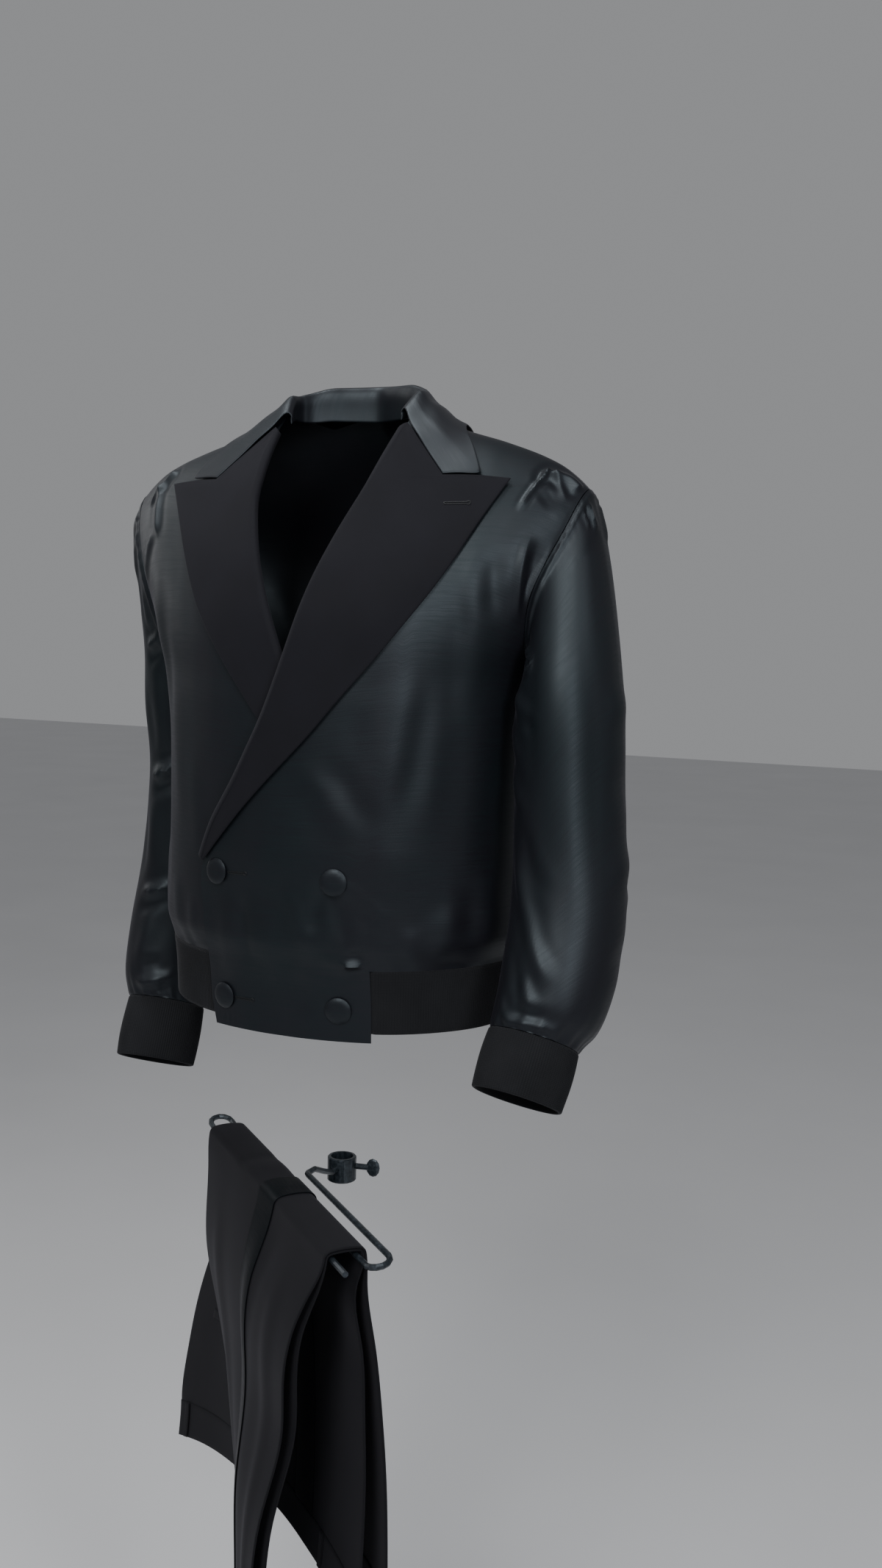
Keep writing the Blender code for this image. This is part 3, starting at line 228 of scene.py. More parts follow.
@dataclass(frozen=True)
class Crease:
    """One fold, placed on a piece's own coordinates.

    The coordinates are (across, height), in metres on the body, and in degrees round the
    sleeve and metres of height on a sleeve.  A height below zero makes a trough.
    """

    start: Pair
    end: Pair
    width: float
    height: float
    bend: float = 0.0
    kind: Fold = Fold.SOFT
    open_start: bool = False
    open_end: bool = False

    def raised(self, a: Grid, b: Grid, turn: float = 1.0) -> Grid:
        """Height of the fold at the given places.

        Args:
            a: distance across, in metres.
            b: height, in metres.
            turn: metres for each unit of the crease's own first coordinate.

        Returns:
            The heights, in metres.
        """
        first = np.array((self.start[0] * turn, self.start[1]))
        last = np.array((self.end[0] * turn, self.end[1]))
        if self.kind is Fold.RING:
            away = np.hypot(a - first[0], b - first[1])
            radius = abs(self.bend)
            return self.height * (np.exp(-((away - radius) / self.width)**2)
                                  - 0.8 * np.exp(-(away / (0.6 * radius))**2))
        span = last - first
        length = max(float(np.hypot(*span)), 1e-6)
        side = np.array((-span[1], span[0])) / length
        steps = np.linspace(0.0, 1.0, 13)
        line = (first + span * steps[:, None]
                + side * (self.bend * 4 * steps * (1 - steps))[:, None])
        best = np.full(a.shape, 1e9)
        along = np.zeros(a.shape)
        for index in range(len(steps) - 1):
            origin, way = line[index], line[index + 1] - line[index]
            share = ((a - origin[0]) * way[0] + (b - origin[1]) * way[1]) / (way @ way)
            share = np.clip(share, 0.0, 1.0)
            gap = np.hypot(a - origin[0] - way[0] * share, b - origin[1] - way[1] * share)
            nearer = gap < best
            best = np.where(nearer, gap, best)
            along = np.where(nearer, (index + share) / (len(steps) - 1), along)
        taper = np.ones(a.shape)
        if not self.open_start:
            taper *= ease(0.0, 0.38, along)
        if not self.open_end:
            taper *= ease(0.0, 0.38, 1.0 - along)
        reach = best / self.width
        if self.kind is Fold.PINCH:
            ridge = np.exp(-np.sqrt(reach**2 + 0.1) + 0.316)
            return self.height * taper * (ridge - 0.3 * np.exp(-((reach - 2.4) / 1.3)**2))
        return self.height * taper * (np.exp(-reach**2) - 0.22 * np.exp(-((reach - 2.0) / 0.9)**2))


@dataclass(frozen=True)
class Folds:
    """All folds of a piece, with the gentle unevenness of hanging cloth."""

    creases: tuple[Crease, ...]
    uneven: float = 0.0004
    size_a: float = 0.035
    size_b: float = 0.11
    seed: float = 1.0

    def raised(self, a: Grid, b: Grid, turn: float = 1.0, around: float = 0.0) -> Grid:
        """Height of the cloth over its plain form.

        Args:
            a: distance across, in metres.
            b: height, in metres.
            turn: metres for each unit of the creases' first coordinate.
            around: length round a closed piece, or 0 for an open one.

        Returns:
            The heights, in metres.
        """
        total = np.zeros(a.shape)
        shifts = (0.0,) if around == 0.0 else (-around, 0.0, around)
        for crease in self.creases:
            for shift in shifts:
                total += crease.raised(a + shift, b, turn)
        if self.uneven:
            total += self.uneven * grain(a, b, self.size_a, self.size_b, self.seed)
            total += 0.45 * self.uneven * grain(a, b, self.size_a * 0.4, self.size_b * 0.4,
                                                self.seed + 7.3)
        return total


def placed(rows: Iterable[tuple], sleeve: bool = False) -> tuple[Crease, ...]:
    """Creases from rows of whole tenths of a millimetre.

    Args:
        rows: start and end, each as across and height; then width, height and bend; then
            marks where needed: p pinched, r a ring, < and > a start and an end left open.
        sleeve: True where "across" is in degrees round the sleeve: 0 its outer side, 90 its
            front, 180 its inner side.

    Returns:
        The creases.
    """
    across = 1 if sleeve else TENTHS
    made = []
    for start, start_z, end, end_z, width, height, bend, *marks in rows:
        mark = "".join(marks)
        made.append(Crease((start / across, start_z / TENTHS), (end / across, end_z / TENTHS),
                           width / TENTHS, height / TENTHS, bend / TENTHS,
                           Fold(mark.strip("<>")), "<" in mark, ">" in mark))
    return tuple(made)


# ---------------------------------------------------------------- shells
def clear_selection() -> None:
    """Deselect everything, as an operator acts on all that is selected."""
    for item in bpy.context.view_layer.objects:
        if item.select_get():
            item.select_set(False)


def finish_piece(name: str, mesh: bpy.types.Mesh, look: Look, sharp: float = SHARP) -> Piece:
    """Link a mesh into the scene as a shaded piece.

    Args:
        name: the piece's name.
        mesh: its mesh, in place.
        look: its material.
        sharp: angle in degrees past which an edge stays sharp.

    Returns:
        The piece.
    """
    mesh.shade_smooth()
    mesh.set_sharp_from_angle(angle=math.radians(sharp))
    item = bpy.data.objects.new(name, mesh)
    item.data.materials.append(look)
    bpy.context.scene.collection.objects.link(item)
    log.info("%s: %d faces", name, len(mesh.polygons))
    return item


def running(points: Grid, axis: int) -> Grid:
    """Distance along a grid's rows or columns from their first point.

    Args:
        points: the grid.
        axis: 0 down its columns, 1 along its rows.

    Returns:
        A distance for each point.
    """
    step = np.linalg.norm(np.diff(points, axis=axis), axis=-1)
    pad = [(0, 0), (0, 0)]
    pad[axis] = (1, 0)
    return np.cumsum(np.pad(step, pad), axis=axis)


def shell_mesh(name: str, outer: Grid, inner: Grid, keep: Grid | None = None,
               closed: bool = False) -> bpy.types.Mesh:
    """A closed thin wall between two grids of points, with a UV map in metres.

    Args:
        name: the mesh's name.
        outer: points of the outer side, rows by columns.
        inner: points of the inner side.
        keep: which cells exist; all by default.
        closed: True where the last column meets the first one.

    Returns:
        The mesh, its faces pointing out.
    """
    rows, columns = outer.shape[:2]
    spans = columns if closed else columns - 1
    keep = np.ones((rows - 1, spans), dtype=bool) if keep is None else keep
    r, c = np.nonzero(keep)
    corner_r = np.stack([r, r, r + 1, r + 1], axis=1)
    corner_c = np.stack([c, c + 1, c + 1, c], axis=1)
    total = rows * columns

    def numbers(row: Grid, column: Grid, side: int) -> Grid:
        """Vertex numbers on the outer side, 0, or the inner one, 1."""
        return row * columns + column % columns + side * total

    parts = [(corner_r, corner_c, numbers(corner_r, corner_c, 0)),
             (corner_r[:, ::-1], corner_c[:, ::-1], numbers(corner_r, corner_c, 1)[:, ::-1])]
    around = np.zeros((rows + 1, spans + 2), dtype=bool)
    around[1:-1, 1:-1] = keep
    if closed:
        around[1:-1, 0], around[1:-1, -1] = keep[:, -1], keep[:, 0]
    for first, second, dr, dc in ((0, 1, -1, 0), (1, 2, 0, 1), (2, 3, 1, 0), (3, 0, 0, -1)):
        bare = ~around[r + 1 + dr, c + 1 + dc]
        pick_r = np.stack([corner_r[bare, k] for k in (second, first, first, second)], axis=1)
        pick_c = np.stack([corner_c[bare, k] for k in (second, first, first, second)], axis=1)
        quad = numbers(pick_r, pick_c, 0)
        quad[:, 2:] += total
        parts.append((pick_r, pick_c, quad))
    rows_at, columns_at, faces = (np.concatenate(each) for each in zip(*parts))
    points = np.concatenate([outer.reshape(-1, 3), inner.reshape(-1, 3)])
    middle = len(r) // 2
    quad = points[faces[middle]]
    facing = np.cross(quad[2] - quad[0], quad[3] - quad[1])
    through = quad.mean(axis=0) - points[faces[middle] + total].mean(axis=0)
    if facing @ through < 0:
        faces, rows_at, columns_at = faces[:, ::-1], rows_at[:, ::-1], columns_at[:, ::-1]
    used, compact = np.unique(faces, return_inverse=True)
    mesh = bpy.data.meshes.new(name)
    mesh.from_pydata(points[used].tolist(), [], compact.reshape(faces.shape).tolist())
    wrapped = np.concatenate([outer, outer[:, :1]], axis=1) if closed else outer
    across, down = running(wrapped, 1), running(wrapped, 0)
    across = across - across[:, across.shape[1] // 2][:, None]
    layer = mesh.uv_layers.new(name="cloth")
    flat = np.stack([across[rows_at, columns_at], down[rows_at, columns_at]], axis=-1)
    layer.data.foreach_set("uv", flat.astype(np.float32).ravel())
    mesh.update()
    return mesh


def rounded(points: Grid, normals: Grid, wall: float, ends: float,
            sides: float) -> tuple[Grid, Grid]:
    """Outer and inner points of a wall whose rims are rolled instead of square.

    Args:
        points: outer points of the plain wall.
        normals: their normals.
        wall: the wall's thickness.
        ends: width of the rolled rim at the first and last row, or 0.
        sides: width of the rolled rim at the first and last column, or 0.

    Returns:
        The outer and the inner points.
    """
    down = np.minimum(running(points, 0), running(points[::-1], 0)[::-1])
    across = np.minimum(running(points, 1), running(points[:, ::-1], 1)[:, ::-1])
    full = np.ones(points.shape[:2])
    for away, width in ((down, ends), (across, sides)):
        if width:
            t = np.clip(away / width, 0.0, 1.0)
            full = np.minimum(full, np.sqrt(np.clip(1 - (1 - t)**2, 0.02, 1.0)))
    inset = (wall / 2 * (1 - full))[..., None]
    return points - normals * inset, points - normals * (wall - inset)


def with_rim_rows(grid: Grid, axis: int, near: float) -> Grid:
    """Add three close rows or columns beside each end of a grid.

    Args:
        grid: the points.
        axis: 0 for rows, 1 for columns.
        near: distance of the furthest added one from the end, at most 0.9 of a span.

    Returns:
        The grid with its added rows or columns.
    """
    data = np.moveaxis(grid, axis, 0)

    def added(first: Grid, second: Grid) -> list[Grid]:
        """Rows close to an end of the grid.

        Args:
            first: the row at the end.
            second: the row beside it.

        Returns:
            Three rows, the one nearest the end first.
        """
        span = np.linalg.norm(second - first, axis=-1, keepdims=True)
        reach = np.minimum(near / np.maximum(span, 1e-6), 0.9)
        return [first + (second - first) * reach * share for share in (0.12, 0.42, 1.0)]

    head = added(data[0], data[1])
    tail = added(data[-1], data[-2])[::-1]
    return np.moveaxis(np.array([data[0], *head, *data[1:-1], *tail, data[-1]]), 0, axis)


def with_rims(points: Grid, normals: Grid, near: float,
              axes: Sequence[int] = (1, 0)) -> tuple[Grid, Grid]:
    """Add close rows and columns at the rims of a grid and, alike, to its normals.

    Args:
        points: the grid's points.
        normals: their normals.
        near: distance of the furthest added row from the end.
        axes: 0 for rows, 1 for columns.

    Returns:
        The points and their unit normals.
    """
    for axis in axes:
        points = with_rim_rows(points, axis, near)
        normals = with_rim_rows(normals, axis, 0.9)
    return points, unit(normals)


def skin_of(points: Grid, normals: Grid, closed: bool = False) -> Grid:
    """Unit normals of a grid of points, on the side of the given normals."""
    skin = grid_normals(points, closed)
    return np.where((skin * normals).sum(-1, keepdims=True) < 0, -skin, skin)


def rows_between(grid: Grid, rows: Grid) -> Grid:
    """Rows of a grid at row numbers that lie between its own.

    Args:
        grid: points or normals.
        rows: the row numbers.

    Returns:
        A row for each number.
    """
    low = np.minimum(rows.astype(int), len(grid) - 2)
    mix = (rows - low)[:, None, None]
    return grid[low] * (1 - mix) + grid[low + 1] * mix


def sample(points: Grid, normal: Grid, share: Grid) -> tuple[Grid, Grid]:
    """Points and normals at shares of the width of the first rows of a layer.

    Args:
        points: the layer's points.
        normal: their normals.
        share: places from 0 at the near edge to 1 at the far one, a row for each.

    Returns:
        The points and their unit normals.
    """
    rows = np.arange(len(share))[:, None]
    at = np.clip(share, 0.0, 1.0) * (points.shape[1] - 1)
    low = np.minimum(at.astype(int), points.shape[1] - 2)
    mix = (at - low)[..., None]
    spots = points[rows, low] * (1 - mix) + points[rows, low + 1] * mix
    ways = normal[rows, low] * (1 - mix) + normal[rows, low + 1] * mix
    return spots, unit(ways)


class Touch:
    """Finds the outer side of a built piece from a point near it."""

    START = 0.03
    REACH = 0.08

    def __init__(self, item: Piece) -> None:
        """Read the piece's mesh.

        Args:
            item: the piece.
        """
        mesh = item.data
        self.tree = BVHTree.FromPolygons([v.co.copy() for v in mesh.vertices],
                                         [tuple(p.vertices) for p in mesh.polygons])

    def at(self, point: Vector, way: Vector) -> Vector:
        """Where a line from outside meets the piece, or else the point itself.

        Args:
            point: a point near the surface.
            way: the outward direction.
        """
        spot = self.tree.ray_cast(point + way * self.START, -way, self.REACH)[0]
        return point if spot is None else spot


# ---------------------------------------------------------------- the body's form
@dataclass(frozen=True)
class BodyForm:
    """The form over which the jacket hangs, with its overlap and its folds."""

    rows: tuple = (
        # z       half    front   back
        (-0.64, 0.183, 0.137, 0.118), (-0.606, 0.184, 0.138, 0.119),
        (-0.575, 0.185, 0.14, 0.12), (-0.547, 0.188, 0.144, 0.124),
        (-0.52, 0.196, 0.15, 0.132), (-0.48, 0.194, 0.151, 0.129),
        (-0.42, 0.192, 0.151, 0.125), (-0.35, 0.193, 0.151, 0.126),
        (-0.3, 0.196, 0.15, 0.131), (-0.27, 0.2, 0.148, 0.134),
        (-0.235, 0.212, 0.1455, 0.137), (-0.2, 0.226, 0.142, 0.138),
        (-0.16, 0.245, 0.135, 0.136), (-0.12, 0.262, 0.125, 0.13),
        (-0.086, 0.275, 0.115, 0.122), (-0.04, 0.285, 0.102, 0.11),
        (0.02, 0.29, 0.09, 0.1))
    shoulder: tuple = (
        # x      z
        (0.0, 0.016), (0.04, 0.006), (0.07, -0.004), (0.121, -0.026),
        (0.168, -0.04), (0.219, -0.06), (0.252, -0.086), (0.275, -0.12))
    armhole: tuple = (
        # z       x
        (-0.27, 0.2), (-0.252, 0.203), (-0.225, 0.207), (-0.195, 0.213),
        (-0.16, 0.226), (-0.12, 0.242), (-0.086, 0.252))
    edges: tuple = (
        # z      upper    under; the under front is made in the left's sense and mirrored
        (-0.64, -0.072, -0.072), (-0.619, -0.075, -0.075), (-0.589, -0.081, -0.081),
        (-0.536, -0.083, -0.083), (-0.481, -0.087, -0.087), (-0.452, -0.084, -0.084),
        (-0.375, -0.044, -0.054), (-0.311, -0.0115, -0.027), (-0.243, 0.0125, 0.003),
        (-0.181, 0.03, 0.031), (-0.133, 0.043, 0.051), (-0.088, 0.056, 0.0655),
        (-0.05, 0.064, 0.069), (-0.022, 0.0685, 0.0695), (0.0, 0.07, 0.07))
    lapels: tuple = (
        # roll z  upper edge x, z   under edge x, z
        (-0.449, -0.078, -0.453, -0.079, -0.453),
        (-0.413, -0.052, -0.424, -0.068, -0.42),
        (-0.375, -0.019, -0.386, -0.038, -0.383),
        (-0.343, 0.01, -0.355, -0.012, -0.352),
        (-0.311, 0.039, -0.323, 0.014, -0.319),
        (-0.277, 0.065, -0.29, 0.041, -0.286),
        (-0.243, 0.092, -0.255, 0.068, -0.254),
        (-0.212, 0.116, -0.222, 0.093, -0.223),
        (-0.181, 0.139, -0.187, 0.114, -0.192),
        (-0.157, 0.156, -0.155, 0.135, -0.156),
        (-0.133, 0.17, -0.123, 0.156, -0.123),
        (-0.112, 0.188, -0.081, 0.188, -0.081),
        (-0.098, 0.1585, -0.0786, 0.1585, -0.0786),
        (-0.085, 0.1258, -0.0786, 0.1258, -0.0786),
        (-0.053, 0.0977, -0.0495, 0.0977, -0.0495),
        (-0.027, 0.0734, -0.0244, 0.0734, -0.0244))
    peak: int = 11
    notch: int = 13

    def edge(self, z: Any, upper: bool) -> Grid:
        """Front edge of the upper or the under front at a height."""
        return smooth(self.edges, z)[..., 0 if upper else 1]

    def lapel(self, upper: bool) -> list[Triple]:
        """Rows of a lapel: the height of its roll, and its edge's x and z."""
        first = 1 if upper else 3
        return [(row[0], row[first], row[first + 1]) for row in self.lapels]

    def ridge(self, x: Grid) -> Grid:
        """Height of the shoulder line at a distance from the centre line."""
        return smooth(self.shoulder, np.abs(x))[..., 0]

    def below(self, x: float, z: float, gap: float) -> float:
        """The height itself, or where that is too high, one a gap under the shoulder line."""
        return min(z, float(self.ridge(np.array(x))) - gap)

    def point(self, angle: Grid, z: Grid, back: bool) -> Grid:
        """Points of the form: angle 0 at the centre line, 90 degrees at the side.

        Args:
            angle: angles.
            z: heights.
            back: True for the back half.

        Returns:
            A point for each angle and height.
        """
        size = smooth(self.rows, z)
        sine, cosine = np.sin(angle), np.cos(angle)
        power = 2.0 / RING_POWER
        x = size[..., 0] * np.sign(sine) * np.abs(sine)**power
        rise = np.clip((z - UNDERARM_Z) / (self.ridge(x) - UNDERARM_Z), 0.0, 1.0)
        if back:
            y = size[..., 2] * np.abs(cosine)**power * np.sqrt(np.clip(1 - rise**5, 0, 1))
        else:
            y = -size[..., 1] * np.abs(cosine)**power * np.clip(1 - rise**2.2, 0, 1)**0.6
        return np.stack([x, y, np.broadcast_to(z, x.shape)], axis=-1)

    def angle(self, x: Grid, z: Grid) -> Grid:
        """Angle of the form at a distance from the centre line."""
        half = smooth(self.rows, z)[..., 0]
        return np.sign(x) * np.arcsin(np.minimum(np.abs(x) / half, 1.0)**(RING_POWER / 2))

    def normal(self, angle: Grid, z: Grid, back: bool) -> Grid:
        """Outward normals of the form.

        Args:
            angle: angles.
            z: heights.
            back: True for the back half.

        Returns:
            A unit vector for each angle and height.
        """
        limit = math.pi / 2 - 0.006
        angle, z = np.broadcast_arrays(np.clip(angle, -limit, limit), z)
        top = np.minimum(z + 0.0008, self.ridge(self.point(angle, z, back)[..., 0]) - 1e-5)
        across = self.point(angle + 0.004, z, back) - self.point(angle - 0.004, z, back)
        upward = self.point(angle, top, back) - self.point(angle, top - 0.0016, back)
        made = unit(np.cross(across, upward))
        return -made if back else made

    def overlap(self, x: Grid, z: Grid) -> Grid:
        """How far the upper front lies outside the under one."""
        height = 0.0036 + 0.006 * ease(-0.5, -0.43, z)
        return height * (1 - ease(0.095, 0.165, x)) * (1 - ease(-0.22, -0.1, z))

    def free_of_lapel(self, x: Grid, z: Grid, upper: bool) -> Grid:
        """0 under a lapel or the collar, 1 well clear of them.

        Args:
            x: distances from the centre line.
            z: heights.
            upper: True for the upper front.

        Returns:
            The share of their height that folds keep.
        """
        rows = [(edge_z, edge_x) for _, edge_x, edge_z in self.lapel(upper)[:self.peak]]
        rows += [(-0.088, 0.186 if upper else 0.182), (-0.078, 0.17), (-0.05, 0.146),
                 (-0.02, 0.118)]
        rim = smooth(rows, z)[..., 0]
        return np.where(z < -0.455, 1.0, ease(0.002, 0.02, np.abs(x) - rim))

    def off_seams(self, x: Grid, z: Grid, angle: Grid, armhole: float, ridge: float) -> Grid:
        """0 at the seams round a panel, 1 well clear of them.

        Args:
            x: distances from the centre line.
            z: heights.
            angle: angles of the form.
            armhole: how far from the armhole folds have their full height.
            ridge: how far from the shoulder line they have it.

        Returns:
            The share of their height that folds keep.
        """
        rim = smooth(self.armhole, z)[..., 0]
        calm = np.where(z > UNDERARM_Z, ease(0.0, armhole, rim - np.abs(x)), 1.0)
        calm = calm * ease(0.0, SIDE_FADE, math.pi / 2 - np.abs(angle))
        return calm * ease(0.0, ridge, self.ridge(x) - z)

    def side(self, z: Grid) -> Grid:
        """Angle of a panel's armhole or side seam at the given heights."""
        rim = smooth(self.armhole, z)[..., 0] - SEAM
        return np.where(z <= UNDERARM_Z, math.pi / 2, self.angle(rim, z))

    def settled(self, low: Grid, high: Grid, columns: int, back: bool, dip: float,
                angles: Callable[[Grid], Grid]) -> tuple[Grid, Grid]:
        """Angles and heights of a panel whose upper rows follow the shoulder line.

        Args:
            low: heights of the rows up to the underarm.
            high: shares of the height above it, for the rows there.
            columns: how many points a row has.
            back: True for the back.
            dip: share by which the rows stop short at the neck.
            angles: gives the angles that belong to heights.

        Returns:
            The angles and the heights, rows by columns.
        """
        share = np.concatenate([np.zeros(len(low)), high])[:, None]
        z = np.concatenate([low, UNDERARM_Z + high * (self.ridge(np.array(0.15)) - UNDERARM_Z)])
        z = np.repeat(z[:, None], columns, axis=1)
        for _ in range(SETTLE_ROUNDS):
            angle = angles(z)
            x = self.point(angle, z, back)[..., 0]
            neck = 1 - ease(0.05, 0.078, np.abs(x))
            z = np.where(share > 0, UNDERARM_Z + share * (1 - dip * neck)
                         * (self.ridge(x) - UNDERARM_Z), z)
        return angle, z

    def spot(self, x: float, z: float, back: bool = False) -> tuple[Grid, Grid]:
        """Point and outward normal of the form at one place.

        Args:
            x: distance from the centre line.
            z: height.
            back: True for the back half.

        Returns:
            The point and the normal.
        """
        x, z = np.array(x), np.array(z)
        angle = self.angle(x, z)
        return self.point(angle, z, back), self.normal(angle, z, back)

    def on(self, x: float, z: float) -> tuple[Vector, Vector]:
        """A point on the upper front and its outward normal.

        Args:
            x: distance from the centre line.
            z: height.

        Returns:
            The point and the normal.
        """
        point, normal = self.spot(x, z)
        return (Vector(point + normal * float(self.overlap(np.array(x), np.array(z)))),
                Vector(normal))


FORM = BodyForm()

FRONT_FOLDS = Folds(placed((
    # long soft folds that fall from the lapel's outer edge
    (1780, -1500, 1600, -3050, 110, 16, 40), (1660, -1650, 1500, -3300, 80, -10, 30),
    (1280, -2350, 1000, -4050, 150, 17, 30), (1500, -2650, 1380, -4300, 100, 11, -20),
    (1400, -2500, 1180, -4100, 90, -10, 20), (850, -2850, 700, -3900, 110, -9, 0),
    # pinched folds at the wearer's left shoulder
    (2012, -1114, 2170, -724, 20, 28, 10, "p>"), (2170, -724, 2440, -850, 32, 50, 30, "p<>"),
    (2240, -735, 2390, -1000, 19, 20, 10, "p<"), (2160, -1010, 2300, -900, 90, -16, 0),
    (2156, -1256, 2044, -2162, 28, 30, -10, "p"), (2250, -1300, 2130, -2100, 70, -40, -10),
    (1900, -1400, 1880, -2200, 90, -26, -10),
    # soft folds round the lapel's break and the buttons
    (300, -3450, 760, -4280, 120, 15, 30), (500, -3400, 960, -4200, 100, -10, 30),
    (180, -4620, 460, -5360, 95, 21, -40), (440, -5320, 840, -5410, 70, 16, -30),
    (620, -4760, 740, -5320, 70, -16, 10, "<"), (530, -4700, 280, -5220, 75, -16, 20, "<"),
    (760, -4680, 1120, -5020, 70, 10, 20, "<"), (-380, -4740, -310, -5520, 65, -15, 10),
    (-520, -4820, -600, -5780, 90, 15, 10), (-120, -4780, -40, -5750, 110, 11, 10),
    (200, -5480, 340, -6000, 90, -9, 0), (660, -5420, 905, -5395, 30, 42, 0, "p"),
    (740, -5330, 900, -5290, 50, -11, 0), (938, -5050, 925, -5460, 12, -7, 0, ">"),
    (1580, -4780, 1520, -5450, 100, 14, 0), (1300, -5000, 1270, -5450, 80, 9, 0),
    (1820, -4400, 1890, -5350, 80, 22, -20), (1720, -4600, 1760, -5400, 70, -12, -10),
    # wearer's right side
    (-1860, -1500, -1640, -3350, 100, 16, -30), (-1720, -1800, -1480, -3400, 90, -11, -20),
    (-1500, -2400, -1200, -4550, 130, 15, -30), (-1120, -3300, -960, -4700, 110, 11, 0),
    (-1800, -4300, -1860, -5300, 80, 19, 20), (-1400, -4700, -1320, -5430, 90, 12, 0),
    (-1080, -4900, -1100, -5440, 70, 10, 0), (-2260, -1040, -2030, -660, 30, 36, 10, "p>"),
    (-2120, -840, -1900, -1400, 36, 34, -20, "p<"), (-2140, -1900, -2020, -1180, 50, 25, 10))),
    uneven=0.0005, size_a=0.045, size_b=0.24, seed=2.0)

BACK_FOLDS = Folds(placed((
    (2050, -1300, 1500, -3000, 120, 40, 60), (-2080, -1250, -1460, -3150, 130, 42, -70),
    (1820, -1500, 1280, -2900, 100, -24, 50), (-1800, -1600, -1200, -3000, 110, -24, -50),
    (-700, -900, 800, -980, 110, 18, -60), (-950, -1180, 600, -1260, 120, -14, -50),
    (900, -3300, 600, -4700, 150, 26, 30), (-400, -3000, -620, -4900, 150, 24, -30),
    (150, -3800, 40, -5200, 120, 18, 0), (1500, -4000, 1580, -5350, 110, 32, 0),
    (-1480, -3900, -1600, -5300, 110, 30, 0), (1760, -3000, 1200, -3450, 90, 24, 30),
    (-1800, -2900, -1280, -3500, 90, 26, -30), (-1100, -4700, 200, -4960, 110, 22, -40),
    (400, -4860, 1500, -4700, 100, 20, -40), (2250, -1200, 2050, -720, 40, 46, 10, "p"),
    (-2280, -1180, -2060, -740, 40, 48, -10, "p"))),
    uneven=0.0006, size_a=0.045, size_b=0.22, seed=5.0)

SLEEVE_LEFT_FOLDS = Folds(placed((
    (96, -1650, 66, -5050, 190, 18, -40), (46, -1800, 38, -5000, 150, -13, 0),
    (120, -2100, 112, -4000, 100, -14, 0), (14, -1040, 10, -1280, 36, 22, 0, "p<"),
    (30, -1060, 24, -1260, 34, 18, 0, "p<"), (-22, -1040, -18, -1400, 45, 24, 0, "p<"),
    (-58, -1120, -50, -1650, 60, 18, 0, "<"), (26, -1080, 20, -1280, 40, -13, 0, "<"),
    (129, -2535, 129, -2535, 22, 26, 60, "r"), (158, -2360, 128, -2430, 36, 34, 20, "p"),
    (156, -2720, 112, -3060, 70, 26, 40), (164, -3000, 128, -3450, 70, 22, 40),
    (140, -2860, 104, -3180, 60, -16, 30), (160, -3450, 118, -3920, 80, 18, 40),
    (140, -4200, 96, -5080, 70, 28, 50), (126, -3950, 92, -4700, 75, -16, 50),
    (116, -4800, 72, -5450, 65, 24, 40), (128, -5050, 96, -5600, 60, -14, 40),
    (108, -5300, 80, -5680, 50, 22, 30), (132, -5560, 104, -5820, 45, 18, 20),
    (128, -5790, 40, -5870, 55, 26, -40), (116, -5700, 60, -5720, 60, -13, -30),
    (-28, -2860, 30, -2920, 140, 20, 0), (-26, -3620, 30, -3680, 180, -14, 0),
    (-34, -4360, 34, -4440, 150, 26, 0), (-30, -5300, 24, -5220, 120, -12, 0),
    (-60, -4700, -10, -4780, 90, 17, 30), (212, -3500, 168, -3920, 70, 24, 40),
    (216, -4000, 160, -4320, 75, 28, 40), (220, -4450, 166, -4700, 70, 24, 40),
    (236, -2000, 206, -3000, 90, 20, 40), (262, -1800, 244, -3300, 120, 18, 40),
    (290, -4800, 240, -5300, 80, 19, 30), (300, -5600, 220, -5850, 60, 22, -30)), sleeve=True),
    uneven=0.0005, size_a=0.035, size_b=0.2, seed=9.0)

SLEEVE_RIGHT_FOLDS = Folds(placed((
    (14, -1040, 10, -1450, 50, 38, 0, "p<"), (44, -1080, 38, -1600, 55, 36, 0, "p<"),
    (74, -1250, 66, -1850, 60, 24, 0, "<"), (-30, -1080, -24, -1550, 55, 34, 0, "p<"),
    (60, -1350, 52, -2150, 80, -18, 0), (122, -2320, 70, -2500, 50, 52, 30, "p"),
    (108, -2460, 66, -2680, 60, -18, 30), (98, -1800, 88, -2380, 80, 20, 0),
    (84, -2620, 92, -3720, 120, 21, 30), (60, -2900, 66, -3900, 110, -17, 30),
    (124, -3720, 58, -3940, 60, 66, 40, "p"), (116, -3880, 64, -4120, 70, -24, 40),
    (72, -4040, 84, -5050, 110, 22, -40), (52, -4300, 60, -5200, 100, -15, -30),
    (118, -5120, 62, -5240, 55, 50, 30, "p"), (104, -5280, 60, -5450, 70, -18, 30),
    (92, -5400, 78, -6100, 90, 21, 20), (140, -6120, 66, -6240, 55, 34, 30),
    (120, -5960, 80, -6040, 60, -18, 20), (30, -3000, -30, -3180, 150, 24, 0),
    (30, -4500, -34, -4700, 150, 28, 0), (-20, -5600, -80, -5800, 110, 24, 30),
    (-60, -1800, -80, -3200, 120, 22, 30), (-90, -4000, -60, -5200, 110, 24, 30),
    (170, -3000, 136, -3450, 80, 28, 30), (178, -4000, 140, -4400, 80, 31, 30),
    (190, -5000, 150, -5200, 80, 25, 30), (-110, -6250, -30, -6300, 60, 25, 30)), sleeve=True),
    uneven=0.0006, size_a=0.035, size_b=0.18, seed=13.0)


